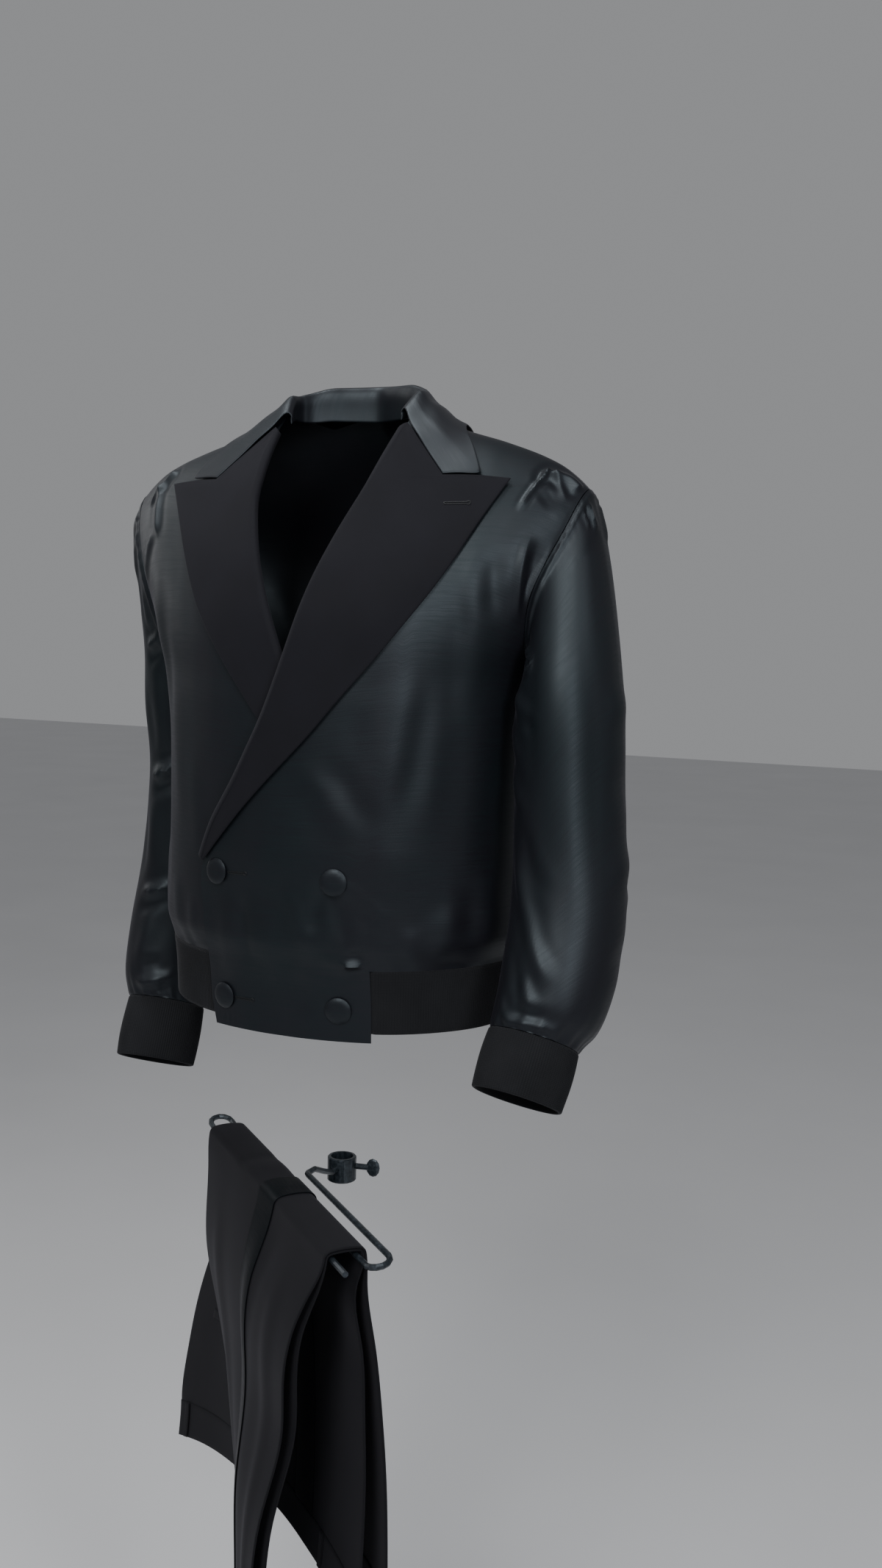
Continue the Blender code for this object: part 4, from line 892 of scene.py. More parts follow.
# ---------------------------------------------------------------- materials
class Value:
    """A shader socket whose arithmetic adds Math nodes."""

    def __init__(self, maker: "Shader", socket: bpy.types.NodeSocket) -> None:
        """Wrap a socket of a material that is being made."""
        self.maker = maker
        self.socket = socket

    def math(self, operation: str, *others: Any, first: Any = None) -> "Value":
        """Add a Math node.

        Args:
            operation: the node's operation.
            others: its further inputs.
            first: what goes in front of this value, or None.

        Returns:
            The node's result.
        """
        inputs = [self, *others] if first is None else [first, self, *others]
        made = self.maker.node("ShaderNodeMath", {"operation": operation},
                               dict(enumerate(inputs)))
        return Value(self.maker, made.outputs[0])

    def __add__(self, other: Any) -> "Value":
        """Sum."""
        return self.math("ADD", other)

    __radd__ = __add__

    def __sub__(self, other: Any) -> "Value":
        """Difference."""
        return self.math("SUBTRACT", other)

    def __rsub__(self, other: Any) -> "Value":
        """Difference from something else."""
        return self.math("SUBTRACT", first=other)

    def __mul__(self, other: Any) -> "Value":
        """Product."""
        return self.math("MULTIPLY", other)

    __rmul__ = __mul__

    def sine(self) -> "Value":
        """Sine."""
        return self.math("SINE")

    def between(self, low: float, high: float) -> "Value":
        """0 at low and 1 at high, smoothly, and clamped.

        Args:
            low: where 0 ends.
            high: where 1 starts.

        Returns:
            The step.
        """
        made = self.maker.node("ShaderNodeMapRange", {"interpolation_type": "SMOOTHSTEP"},
                               {"Value": self, "From Min": low, "From Max": high})
        return Value(self.maker, made.outputs["Result"])


class Shader:
    """A material with one Principled shader and helpers for its nodes."""

    def __init__(self, name: str) -> None:
        """Start an empty material.

        Args:
            name: the material's name.
        """
        self.material = bpy.data.materials.new(name)
        self.material.use_nodes = True
        self.tree = self.material.node_tree
        self.tree.nodes.clear()
        self.surface = self.tree.nodes.new("ShaderNodeBsdfPrincipled")
        output = self.tree.nodes.new("ShaderNodeOutputMaterial")
        self.tree.links.new(self.surface.outputs[0], output.inputs["Surface"])

    def node(self, kind: str, settings: dict[str, Any] | None = None,
             inputs: dict[Any, Any] | None = None) -> bpy.types.Node:
        """Add a node.

        Args:
            kind: the node's type.
            settings: its own settings, set first.
            inputs: the values or links of its sockets, by name or number.

        Returns:
            The node.
        """
        made = self.tree.nodes.new(kind)
        for key, value in (settings or {}).items():
            setattr(made, key, value)
        for key, value in (inputs or {}).items():
            self.put(made.inputs[key], value)
        return made

    def put(self, socket: bpy.types.NodeSocket, value: Any) -> None:
        """Link a value to a socket, or set its number, vector or colour.

        Args:
            socket: the input.
            value: what it gets.
        """
        if isinstance(value, Value):
            self.tree.links.new(value.socket, socket)
        elif isinstance(value, bpy.types.NodeSocket):
            self.tree.links.new(value, socket)
        elif isinstance(value, tuple) and socket.type == "RGBA" and len(value) == 3:
            socket.default_value = (*value, 1.0)
        else:
            socket.default_value = value

    def plain(self, **settings: Any) -> None:
        """Set numbers and colours that are the same all over."""
        for key, value in settings.items():
            self.put(self.surface.inputs[key.replace("_", " ").title().replace("Ior", "IOR")],
                     value)

    def uv(self) -> tuple[Value, Value, bpy.types.NodeSocket]:
        """Across and along a cloth, in metres, and both as a vector.

        Returns:
            The two numbers and the vector.
        """
        made = self.node("ShaderNodeUVMap", {"uv_map": "cloth"})
        split = self.node("ShaderNodeSeparateXYZ", None, {0: made.outputs[0]})
        return Value(self, split.outputs[0]), Value(self, split.outputs[1]), made.outputs[0]

    def place(self) -> bpy.types.NodeSocket:
        """Object coordinates."""
        return self.node("ShaderNodeTexCoord").outputs["Object"]

    def joined(self, x: Any, y: Any, z: Any = 0.0) -> bpy.types.NodeSocket:
        """A vector from three numbers or values."""
        return self.node("ShaderNodeCombineXYZ", None, {0: x, 1: y, 2: z}).outputs[0]

    def cloud(self, vector: Any, scale: float, detail: float = 2.0,
              roughness: float = 0.5) -> Value:
        """Soft noise from 0 to 1.

        Args:
            vector: where it is read.
            scale: how fine it is.
            detail: how many finer layers it has.
            roughness: how strong those are.

        Returns:
            The noise.
        """
        made = self.node("ShaderNodeTexNoise", None,
                         {"Vector": vector, "Scale": scale, "Detail": detail,
                          "Roughness": roughness})
        return Value(self, made.outputs[0])

    def mixed(self, share: Any, first: Any, second: Any) -> bpy.types.NodeSocket:
        """A colour between two.

        Args:
            share: 0 for the first, 1 for the second.
            first: a colour.
            second: another colour.

        Returns:
            The mixed colour's socket.
        """
        made = self.node("ShaderNodeMix", {"data_type": "RGBA"})
        self.put(made.inputs[0], share)
        self.put(made.inputs[6], first)
        self.put(made.inputs[7], second)
        return made.outputs[2]

    def relief(self, height: Value, depth: float, strength: float = 1.0) -> None:
        """Raise the surface by a height from 0 to 1 times a depth in metres.

        Args:
            height: the height.
            depth: the depth of height 1.
            strength: how much of the bump shows.
        """
        made = self.node("ShaderNodeBump", None,
                         {"Strength": strength, "Distance": depth, "Height": height})
        self.put(self.surface.inputs["Normal"], made.outputs[0])

    def color(self, socket: Any) -> None:
        """Link the base colour."""
        self.put(self.surface.inputs["Base Color"], socket)

    def rough(self, value: Any) -> None:
        """Link or set the roughness."""
        self.put(self.surface.inputs["Roughness"], value)


@dataclass(frozen=True)
class Finish:
    """A finish; its own lay method sets up the nodes."""

    name: str

    def made(self) -> Look:
        """Build the material.

        Returns:
            The material.
        """
        shader = Shader(self.name)
        self.lay(shader)
        return shader.material

    def lay(self, shader: Shader) -> None:
        """Set up the nodes."""
        raise NotImplementedError


@dataclass(frozen=True)
class SatinFinish(Finish):
    """Shiny black cloth, woven in two colours: petrol in the light, purple-grey aslant."""

    name: str = "satin_cloth"
    petrol: Triple = (0.0016, 0.0038, 0.005)
    plum: Triple = (0.0048, 0.0038, 0.006)
    rough: float = 0.47
    slub: float = 0.00016
    gloss: float = 0.36

    def lay(self, shader: Shader) -> None:
        """Set up the nodes.

        Args:
            shader: the material's shader.
        """
        across, along, _ = shader.uv()
        drift = shader.cloud(shader.joined(across * 9.0, along * 3.0), 1.0, 3.0)
        sheen = shader.cloud(shader.joined(across * 26.0, along * 2.0), 1.0, 2.0)
        long = shader.cloud(shader.joined(across * 15.0, along * 260.0), 1.0, 2.0, 0.6)
        thread = shader.cloud(shader.joined(across * 50.0, along * 760.0), 1.0, 3.0, 0.6)
        warp = shader.cloud(shader.joined(across * 1100.0, along * 45.0), 1.0, 2.0, 0.6)
        shader.color(shader.mixed((drift * 1.2 + thread * 0.4 + long * 0.4 - 0.55)
                                  .between(0.2, 0.8), self.plum, self.petrol))
        shader.rough(thread * 0.14 + long * 0.12 + drift * 0.08 + sheen * 0.1
                     + (self.rough - 0.22))
        shader.relief(thread * 0.5 + long * 0.7 + warp * 0.3, self.slub, 0.6)
        shader.plain(metallic=0.0, specular_ior_level=self.gloss, specular_tint=(0.8, 0.93, 1.0),
                     anisotropic=0.3, sheen_weight=0.03, sheen_roughness=0.28,
                     sheen_tint=(0.66, 0.6, 0.78))


@dataclass(frozen=True)
class WovenFinish(Finish):
    """Matte wool cloth with a fine diagonal twill."""

    dark: Triple
    light: Triple
    twill: float = 0.0011
    sheen: float = 0.055
    tint: Triple = (0.58, 0.57, 0.66)

    def lay(self, shader: Shader) -> None:
        """Set up the nodes.

        Args:
            shader: the material's shader.
        """
        across, along, both = shader.uv()
        turn = 2 * math.pi / self.twill
        wobble = shader.cloud(both, 260.0, 2.0) * 2.2
        rib = ((across + along) * turn + wobble).sine() * 0.5 + 0.5
        cross = ((across - along * 0.6) * (turn * 1.9)).sine() * 0.5 + 0.5
        fuzz = shader.cloud(both, 1500.0, 3.0, 0.7)
        cloud = shader.cloud(both, 14.0, 3.0)
        height = rib * 0.55 + cross * 0.15 + fuzz * 0.5
        shader.color(shader.mixed((rib * 0.45 + fuzz * 0.4 + cloud * 0.35).between(0.2, 1.0),
                                  self.dark, self.light))
        shader.rough(0.86 - fuzz * 0.08)
        shader.relief(height, 0.00016, 0.5)
        shader.plain(specular_ior_level=0.16, sheen_weight=self.sheen, sheen_roughness=0.45,
                     sheen_tint=self.tint)


@dataclass(frozen=True)
class KnitFinish(Finish):
    """Rib knit: small stitches along each rib."""

    name: str = "rib_knit"
    dark: Triple = (0.0034, 0.0036, 0.0042)
    light: Triple = (0.013, 0.0136, 0.0156)
    stitch: float = 0.0016
    rib: float = 0.0024

    def lay(self, shader: Shader) -> None:
        """Set up the nodes.

        Args:
            shader: the material's shader.
        """
        across, along, both = shader.uv()
        row = (along * (2 * math.pi / self.stitch)
               + (across * (2 * math.pi / self.rib)).sine() * 1.1).sine() * 0.5 + 0.5
        fuzz = shader.cloud(both, 1400.0, 3.0, 0.7)
        cloud = shader.cloud(both, 22.0, 3.0)
        shader.color(shader.mixed((row * 0.35 + fuzz * 0.45 + cloud * 0.4).between(0.2, 1.0),
                                  self.dark, self.light))
        shader.rough(0.92 - fuzz * 0.06)
        shader.relief(row * 0.6 + fuzz * 0.5, 0.00022, 0.55)
        shader.plain(specular_ior_level=0.14, sheen_weight=0.08, sheen_roughness=0.5,
                     sheen_tint=(0.66, 0.66, 0.7))


@dataclass(frozen=True)
class MetalFinish(Finish):
    """Blue-black coated steel with slight wear."""

    name: str = "dark_steel"
    dark: Triple = (0.012, 0.017, 0.022)
    worn: Triple = (0.06, 0.075, 0.09)

    def lay(self, shader: Shader) -> None:
        """Set up the nodes.

        Args:
            shader: the material's shader.
        """
        place = shader.place()
        spots = shader.cloud(place, 260.0, 4.0, 0.65)
        streak = shader.cloud(place, 40.0, 3.0)
        shader.color(shader.mixed((spots * 0.8 + streak * 0.4).between(0.45, 0.95),
                                  self.dark, self.worn))
        shader.rough(spots * 0.18 + 0.27)
        shader.relief(spots, 0.00006, 0.5)
        shader.plain(metallic=0.55, specular_ior_level=0.6, coat_weight=0.15,
                     coat_roughness=0.25)


@dataclass(frozen=True)
class ThreadFinish(Finish):
    """Twisted silk thread of the buttonholes; the trouser buttons have its look too."""

    name: str = "silk_thread"
    dark: Triple = (0.0015, 0.0019, 0.0024)
    light: Triple = (0.0058, 0.0072, 0.0088)

    def lay(self, shader: Shader) -> None:
        """Set up the nodes.

        Args:
            shader: the material's shader.
        """
        place = shader.place()
        twist = shader.cloud(place, 2600.0, 2.0)
        shader.color(shader.mixed(twist.between(0.35, 0.7), self.dark, self.light))
        shader.rough(twist * 0.2 + 0.38)
        shader.relief(twist, 0.0001, 0.6)
        shader.plain(specular_ior_level=0.25, sheen_weight=0.03)


@dataclass(frozen=True)
class FloorFinish(Finish):
    """Plain pale studio floor."""

    name: str = "studio_floor"

    def lay(self, shader: Shader) -> None:
        """Set up the nodes.

        Args:
            shader: the material's shader.
        """
        cloud = shader.cloud(shader.place(), 2.0, 3.0)
        shader.color(shader.mixed(cloud, (0.6, 0.6, 0.61), (0.66, 0.66, 0.67)))
        shader.rough(0.8)


@dataclass
class Wardrobe:
    """All finishes of the set."""

    satin: Look = field(default_factory=lambda: SatinFinish().made())
    braid: Look = field(default_factory=lambda: SatinFinish(
        "stripe_satin", (0.0012, 0.0026, 0.0034), (0.0022, 0.002, 0.003), rough=0.52,
        gloss=0.12).made())
    facing: Look = field(default_factory=lambda: WovenFinish(
        "facing_cloth", (0.0025, 0.0025, 0.0035), (0.0084, 0.0083, 0.0122)).made())
    wool: Look = field(default_factory=lambda: WovenFinish(
        "trouser_cloth", (0.002, 0.002, 0.0028), (0.007, 0.007, 0.0092)).made())
    knit: Look = field(default_factory=lambda: KnitFinish().made())
    metal: Look = field(default_factory=lambda: MetalFinish().made())
    thread: Look = field(default_factory=lambda: ThreadFinish().made())


# ---------------------------------------------------------------- jacket
@dataclass
class Panel:
    """What every cloth piece of the set shares."""

    wardrobe: Wardrobe

    def cloth(self, node: str, stuff: str, sides: tuple[Grid, Grid],
              look: Look, slot: str, flat: Pair, held: str,
              rests_on: Iterable[str], *, area: float | None = None,
              keep: Grid | None = None, closed: bool = False,
              sharp: float = SHARP) -> Piece:
        """Make a closed wall that stands for its solid.

        Args:
            node: the solid that it replaces.
            stuff: what follows the solid's name in the piece's own.
            sides: its outer and inner points.
            look: its material.
            slot: the record's material slot; not used.
            flat: width and length of the cut; not used.
            held: how it is held; not used.
            rests_on: what it hangs from or lies on; not used.
            area: flat area where the cut isn't a rectangle; not used.
            keep: which cells exist; all by default.
            closed: True where the last column meets the first one.
            sharp: angle in degrees past which an edge stays sharp.

        Returns:
            The piece.
        """
        name = f"{node}_{stuff}"
        item = finish_piece(name, shell_mesh(name, *sides, keep, closed), look, sharp)
        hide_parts(node)
        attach(item, ROOT)
        return item


@dataclass
class SidedPanel(Panel):
    """A piece of which the set has a left and a right one."""

    left: bool = True

    @property
    def side(self) -> str:
        """The wearer's side, as in the names."""
        return "left" if self.left else "right"

    def turned(self, *grids: Grid) -> tuple[Grid, ...]:
        """Grids made in the left's sense, mirrored for a right piece."""
        return grids if self.left else tuple(mirror_x(grid) for grid in grids)


def body_skin(outer: Grid, normal: Grid, level: Grid) -> Grid:
    """Directions in which a panel's wall is thick; those at its seams stay as given."""
    skin = skin_of(outer, normal)
    return np.where(level[..., None], normal, unit(skin + normal))


def levelled(normal: Grid, level: Grid) -> Grid:
    """Normals without their part along y at the seams between front and back."""
    return np.where(level[..., None], unit(normal * np.array((1.0, 0.0, 1.0))), normal)


@dataclass
class Front(SidedPanel):
    """A front with its buttoned tab; the wearer's left one lies on top."""

    inner_columns: int = 64
    outer_columns: int = 70
    band_rows: int = 18
    low_rows: int = 110
    high_rows: int = 130

    @property
    def split(self) -> float:
        """Where the tab's outer edge is."""
        return TAB_LEFT_X if self.left else TAB_RIGHT_X

    def angles(self, z: Grid) -> Grid:
        """Angles of all columns at the given heights: edge, tab's outer edge, side.

        Args:
            z: heights, rows by columns.

        Returns:
            An angle for each height.
        """
        column = np.arange(z.shape[1])[None, :]
        edge = FORM.angle(FORM.edge(z, self.left) + 0.0034 * ease(-0.478, -0.446, z), z)
        side = FORM.side(z)
        middle = FORM.angle(self.split - SEAM + 0.034 * ease(-0.5, -0.27, z), z)
        blend = ease(UNDERARM_Z, -0.06, z)
        middle = middle * (1 - blend) + (edge + side) / 2 * blend
        inside = edge + (middle - edge) * column / self.inner_columns
        outside = middle + (side - middle) * (column - self.inner_columns) / self.outer_columns
        return np.where(column <= self.inner_columns, inside, outside)

    def place(self) -> tuple[Grid, Grid, Grid]:
        """Angles, heights, and which cells exist, in the left's sense.

        Returns:
            The three grids.
        """
        low = np.concatenate([
            np.linspace(HEM_Z, BAND_TOP_Z, self.band_rows + 1),
            np.linspace(BAND_TOP_Z, UNDERARM_Z, self.low_rows - self.band_rows)[1:]])
        high = 1 - (1 - np.linspace(0.0, 1.0, self.high_rows + 1)[1:])**1.35
        columns = self.inner_columns + self.outer_columns + 1
        angle, z = FORM.settled(low, high, columns, False, 0.0, self.angles)
        keep = np.ones((len(z) - 1, columns - 1), dtype=bool)
        keep[:self.band_rows, self.inner_columns:] = False
        return angle, z, keep

    def folds(self, world_x: Grid, x: Grid, z: Grid, angle: Grid) -> Grid:
        """Height of the folds, faded towards seams and under the lapel.

        Args:
            world_x: distances to the wearer's left.
            x: distances from the centre line in the left's sense.
            z: heights.
            angle: angles of the form.

        Returns:
            The heights, in metres.
        """
        calm = FORM.free_of_lapel(x, z, self.left) * FORM.off_seams(x, z, angle, 0.0045, 0.005)
        off_tab = ease(-0.006, 0.004, x - self.split)
        calm = calm * (1 - off_tab * (1 - ease(BAND_TOP_Z, CALM_Z, z)))
        below = 1 - ease(BAND_TOP_Z - 0.004, BAND_TOP_Z + 0.01, z)
        calm = calm * (1 - below * (1 - ease(0.0, 0.016, self.split - x)))
        raised = FRONT_FOLDS.raised(world_x, z) * calm
        over = z - BAND_TOP_Z
        gather = np.sin(world_x / 0.0052 + 3 * grain(world_x, z, 0.03, 0.05, 21.0))
        raised = raised + 0.001 * gather * off_tab * np.exp(-over / 0.012) * (over > 0) * (
            1 - np.exp(-over / 0.002))
        tuck = np.sin(world_x / 0.00095 + 5 * grain(world_x, z, 0.02, 0.2, 3.0))
        near_hem = np.exp(-((z - (HEM_Z + 0.0085)) / 0.0045)**2)
        some = 0.35 + 0.65 * ease(-0.1, 0.35, grain(world_x, z, 0.03, 1.0, 17.0))
        raised = raised + 0.00045 * tuck * near_hem * some * (1 - off_tab)
        return raised

    def build(self) -> Piece:
        """Make the panel.

        Returns:
            The piece.
        """
        angle, z, keep = self.place()
        points, normal = FORM.point(angle, z, False), FORM.normal(angle, z, False)
        x = points[..., 0]
        level = np.zeros(z.shape, dtype=bool)
        level[-1] = True
        level[:, -1] |= z[:, -1] <= UNDERARM_Z
        points[..., 1] = np.where(level, -SEAM / 2, points[..., 1])
        normal = levelled(normal, level)
        lift = FORM.overlap(x, z) if self.left else 0.0
        raised = self.folds(x if self.left else -x, x, z, angle)
        outer = points + normal * (lift + raised)[..., None]
        inner = outer - body_skin(outer, normal, level) * CLOTH
        return self.cloth(f"front_{self.side}", "cloth", self.turned(outer, inner),
                          self.wardrobe.satin, "satin_cloth", (0.36, 0.62), "draped",
                          ["back", f"sleeve_{self.side}"], area=0.155, keep=keep)


@dataclass
class Back(Panel):
    """The back, in one piece."""

    columns: int = 170
    low_rows: int = 62
    high_rows: int = 64

    def build(self) -> Piece:
        """Make the panel.

        Returns:
            The piece.
        """
        low = np.linspace(BAND_TOP_Z, UNDERARM_Z, self.low_rows)
        high = 1 - (1 - np.linspace(0.0, 1.0, self.high_rows + 1)[1:])**1.5
        across = np.linspace(-1.0, 1.0, self.columns + 1)[None, :]
        angle, z = FORM.settled(low, high, self.columns + 1, True, 0.06,
                                lambda heights: across * FORM.side(heights))
        points, normal = FORM.point(angle, z, True), FORM.normal(angle, z, True)
        x = points[..., 0]
        level = np.zeros(z.shape, dtype=bool)
        level[-1] = np.abs(x[-1]) > 0.0775
        under = z[:, 0] <= UNDERARM_Z
        level[under, 0] = level[under, -1] = True
        points[..., 1] = np.where(level, SEAM / 2, points[..., 1])
        normal = levelled(normal, level)
        calm = FORM.off_seams(x, z, angle, 0.01, 0.012)
        calm = calm * ease(BAND_TOP_Z, CALM_Z, z)
        calm = calm * (1 - (1 - ease(0.1, 0.14, np.abs(x))) * ease(-0.06, -0.04, z))
        gather = np.sin(x / 0.005 + 3 * grain(x, z, 0.03, 0.05, 31.0))
        over = z - BAND_TOP_Z
        near = np.exp(-over / 0.014) * (1 - np.exp(-over / 0.002))
        raised = BACK_FOLDS.raised(x, z) * calm + 0.0014 * gather * near
        outer = points + normal * raised[..., None]
        inner = outer - body_skin(outer, normal, level) * CLOTH
        return self.cloth("back", "cloth", (outer, inner), self.wardrobe.satin, "satin_cloth",
                          (0.62, 0.58), "draped", ["front_left", "front_right", "collar"],
                          area=0.27)


@dataclass
class Lapel(SidedPanel):
    """Turned-over lapel: a short return inside, a soft roll, and the flap."""

    wall: float = 0.002
    gap: float = 2e-4
    clear: float = 0.0015

    def middle(self) -> tuple[Grid, Grid]:
        """Middle of the wall and its outward direction, section by section.

        Returns:
            The middle and the direction, sections by points.
        """
        half = self.wall / 2
        base = half + (0.002 if self.left else 0.0016)
        back_side = -(CLOTH + self.clear + half)
        between = (base + back_side) / 2
        centres, ways = [], []
        for roll_z, edge_x, edge_z in FORM.lapel(self.left):
            start = np.array((float(FORM.edge(roll_z, self.left)), roll_z))
            span = np.array((edge_x, edge_z)) - start
            length = float(np.hypot(*span))
            heading = span / max(length, 1e-6)
            puff = (0.003 if self.left else 0.0008) * min(length / 0.05, 1.0)
            section = [(0.007, back_side, (0.0, -1.0)), (0.003, back_side, (0.0, -1.0)),
                       (-0.0012, between - 0.0006, (-0.8, -0.6)),
                       (-0.0014, between + 0.001, (-0.8, 0.6)),
                       (0.003, base + puff * 0.8, (-0.15, 0.99))]
            for share in (0.07, 0.2, 0.4, 0.6, 0.8, 1.0):
                section.append((max(share * length, 0.0045 + 0.0006 * share),
                                base + puff * (1 - share)**1.5, (0.0, 1.0)))
            ring, facing = [], []
            for away, rise, (side, upward) in section:
                x, z = start + heading * away
                z = FORM.below(x, z, self.gap)
                point, normal = FORM.spot(x, z)
                ahead = np.array((x, z)) + 0.002 * heading
                ahead[1] = FORM.below(ahead[0], ahead[1], self.gap)
                step = FORM.point(FORM.angle(ahead[0], ahead[1]), ahead[1], False) - point
                step = unit(step - normal * (step @ normal))
                lift = float(FORM.overlap(np.array(x), np.array(z))) if self.left else 0.0
                ring.append(point + normal * (lift + rise))
                facing.append(unit(step * side + normal * upward))
            centres.append(ring)
            ways.append(facing)
        return np.array(centres), np.array(ways)

    def fine(self, grid: Grid) -> Grid:
        """Refine between the peak and the notch on their own, so that both stay sharp.

        Args:
            grid: sections by points.

        Returns:
            The finer grid.
        """
        peak, notch = FORM.peak, FORM.notch
        parts = [grid[:peak + 1], grid[peak:notch + 1], grid[notch:]]
        finer = [refine(part, 8, 0) for part in parts]
        return refine(np.concatenate([finer[0], finer[1][1:], finer[2][1:]]), 5, 1)

    def build(self) -> Piece:
        """Make the lapel with its soft waves and its rolled edge.

        Returns:
            The piece.
        """
        centres, ways = self.middle()
        centres, ways = with_rims(self.fine(centres), unit(self.fine(ways)), TURNED)
        across = running(centres, 1)
        flap = ease(0.35, 1.0, across / across[:, -1:].max(axis=1, keepdims=True))
        wave = grain(centres[..., 0], centres[..., 2], 0.06, 0.085, 4.0 if self.left else 6.0)
        wave = wave * 0.0009 + 0.0007 * flap
        centres = centres + ways * (wave * ease(0.0, 0.02, across - 0.012))[..., None]
        sides = rounded(centres + ways * self.wall / 2, ways, self.wall, TURNED, TURNED)
        return self.cloth(f"lapel_{self.side}", "cloth", self.turned(*sides),
                          self.wardrobe.facing, "facing_cloth", (0.16, 0.48), "folded",
                          [f"front_{self.side}"], area=0.047)


@dataclass
class Collar(Panel):
    """Collar: an inner stand, the roll round the neck, and the fall over the shoulders."""

    wall: float = 0.002
    gap: float = 3e-4
    rows: tuple = (
        # neck_x  neck_z   edge_x  edge_z   back  roll    foot
        (0.065, -0.015, 0.125, -0.0776, 0.0, 0.006, 0.003),
        (0.0675, -0.0105, 0.1595, -0.0756, 0.0, 0.009, 0.005),
        (0.0695, -0.007, 0.144, -0.05, 0.0, 0.012, 0.0065),
        (0.071, -0.0046, 0.123, -0.0272, 0.0, 0.015, 0.008),
        (0.071, -0.0046, 0.12, -0.0262, 1.0, 0.016, 0.008),
        (0.063, -0.004, 0.101, -0.034, 1.0, 0.02, 0.008),
        (0.04, -0.0015, 0.068, -0.03, 1.0, 0.024, 0.008),
        (0.0, -0.0015, 0.0, -0.032, 1.0, 0.026, 0.008))

    def section(self, row: Grid) -> list[Grid]:
        """One section from the foot over the roll to the turned edge.

        Args:
            row: a row of the table.

        Returns:
            The section's points.
        """
        neck_x, neck_z, edge_x, edge_z, back, roll, foot = row
        behind = back > 0.5
        neck_z = FORM.below(neck_x, neck_z, self.gap)
        neck = FORM.spot(neck_x, neck_z, behind)[0]
        inward = unit(np.array((-neck[0], -neck[1] - 0.004, 0.0)))
        up = np.array((0.0, 0.0, 1.0))
        made = [neck + inward * 0.003 - up * foot, neck + inward * 0.003 + up * 0.35 * roll,
                neck + inward * 0.0026 + up * 0.85 * roll, neck + up * (roll + 0.0016)]
        for share in (0.16, 0.36, 0.58, 0.8, 1.0):
            x = neck_x + (edge_x - neck_x) * share
            z = FORM.below(x, neck_z + (edge_z - neck_z) * share, self.gap)
            point, normal = FORM.spot(x, z, behind)
            lean = min(share * 2.2, 1.0)
            way = unit(up * (1 - lean) + normal * lean)
            made.append(point + way * (0.0042 + (roll - 0.003) * (1 - share)**1.7))
        return made

    def build(self) -> Piece:
        """Make the collar.

        Returns:
            The piece.
        """
        halves = []
        for part in (self.rows[:4], self.rows[4:]):
            keyed = [(index, *row) for index, row in enumerate(part)]
            halves += [self.section(row) for row in smooth(keyed, np.linspace(0, 3, 8))]
        side = np.array(halves)
        middle = np.concatenate([side, mirror_x(side[-2::-1])])
        middle = refine(refine(middle, 6, 0), 6, 1)
        middle = with_rim_rows(with_rim_rows(middle, 1, TURNED), 0, TURNED)
        normal = grid_normals(middle)
        wave = grain(middle[..., 0], middle[..., 2], 0.04, 0.04, 12.0) * 0.0006
        middle = middle + normal * wave[..., None]
        sides = rounded(middle + normal * self.wall / 2, normal, self.wall, TURNED, TURNED)
        return self.cloth("collar", "cloth", sides, self.wardrobe.satin, "satin_cloth",
                          (0.46, 0.11), "folded", ["back", "front_left", "front_right"])


@dataclass(frozen=True)
class CuffPlace:
    """Where a cuff is: the centres and radii of its ends."""

    top: Grid
    low: Grid
    top_radius: float
    low_radius: float


def section_frame(tangent: Grid, side: float) -> tuple[Grid, Grid]:
    """Two unit vectors across a tube, the first towards the wearer's outer side.

    Args:
        tangent: the tube's direction.
        side: 1 on the wearer's left, -1 on the right.

    Returns:
        The outward and the forward vector.
    """
    outward = np.array((side, 0.0, 0.0))
    outward = unit(outward - tangent * (outward @ tangent))
    forward = np.cross(tangent, outward)
    return outward, (-forward if forward[1] > 0 else forward)


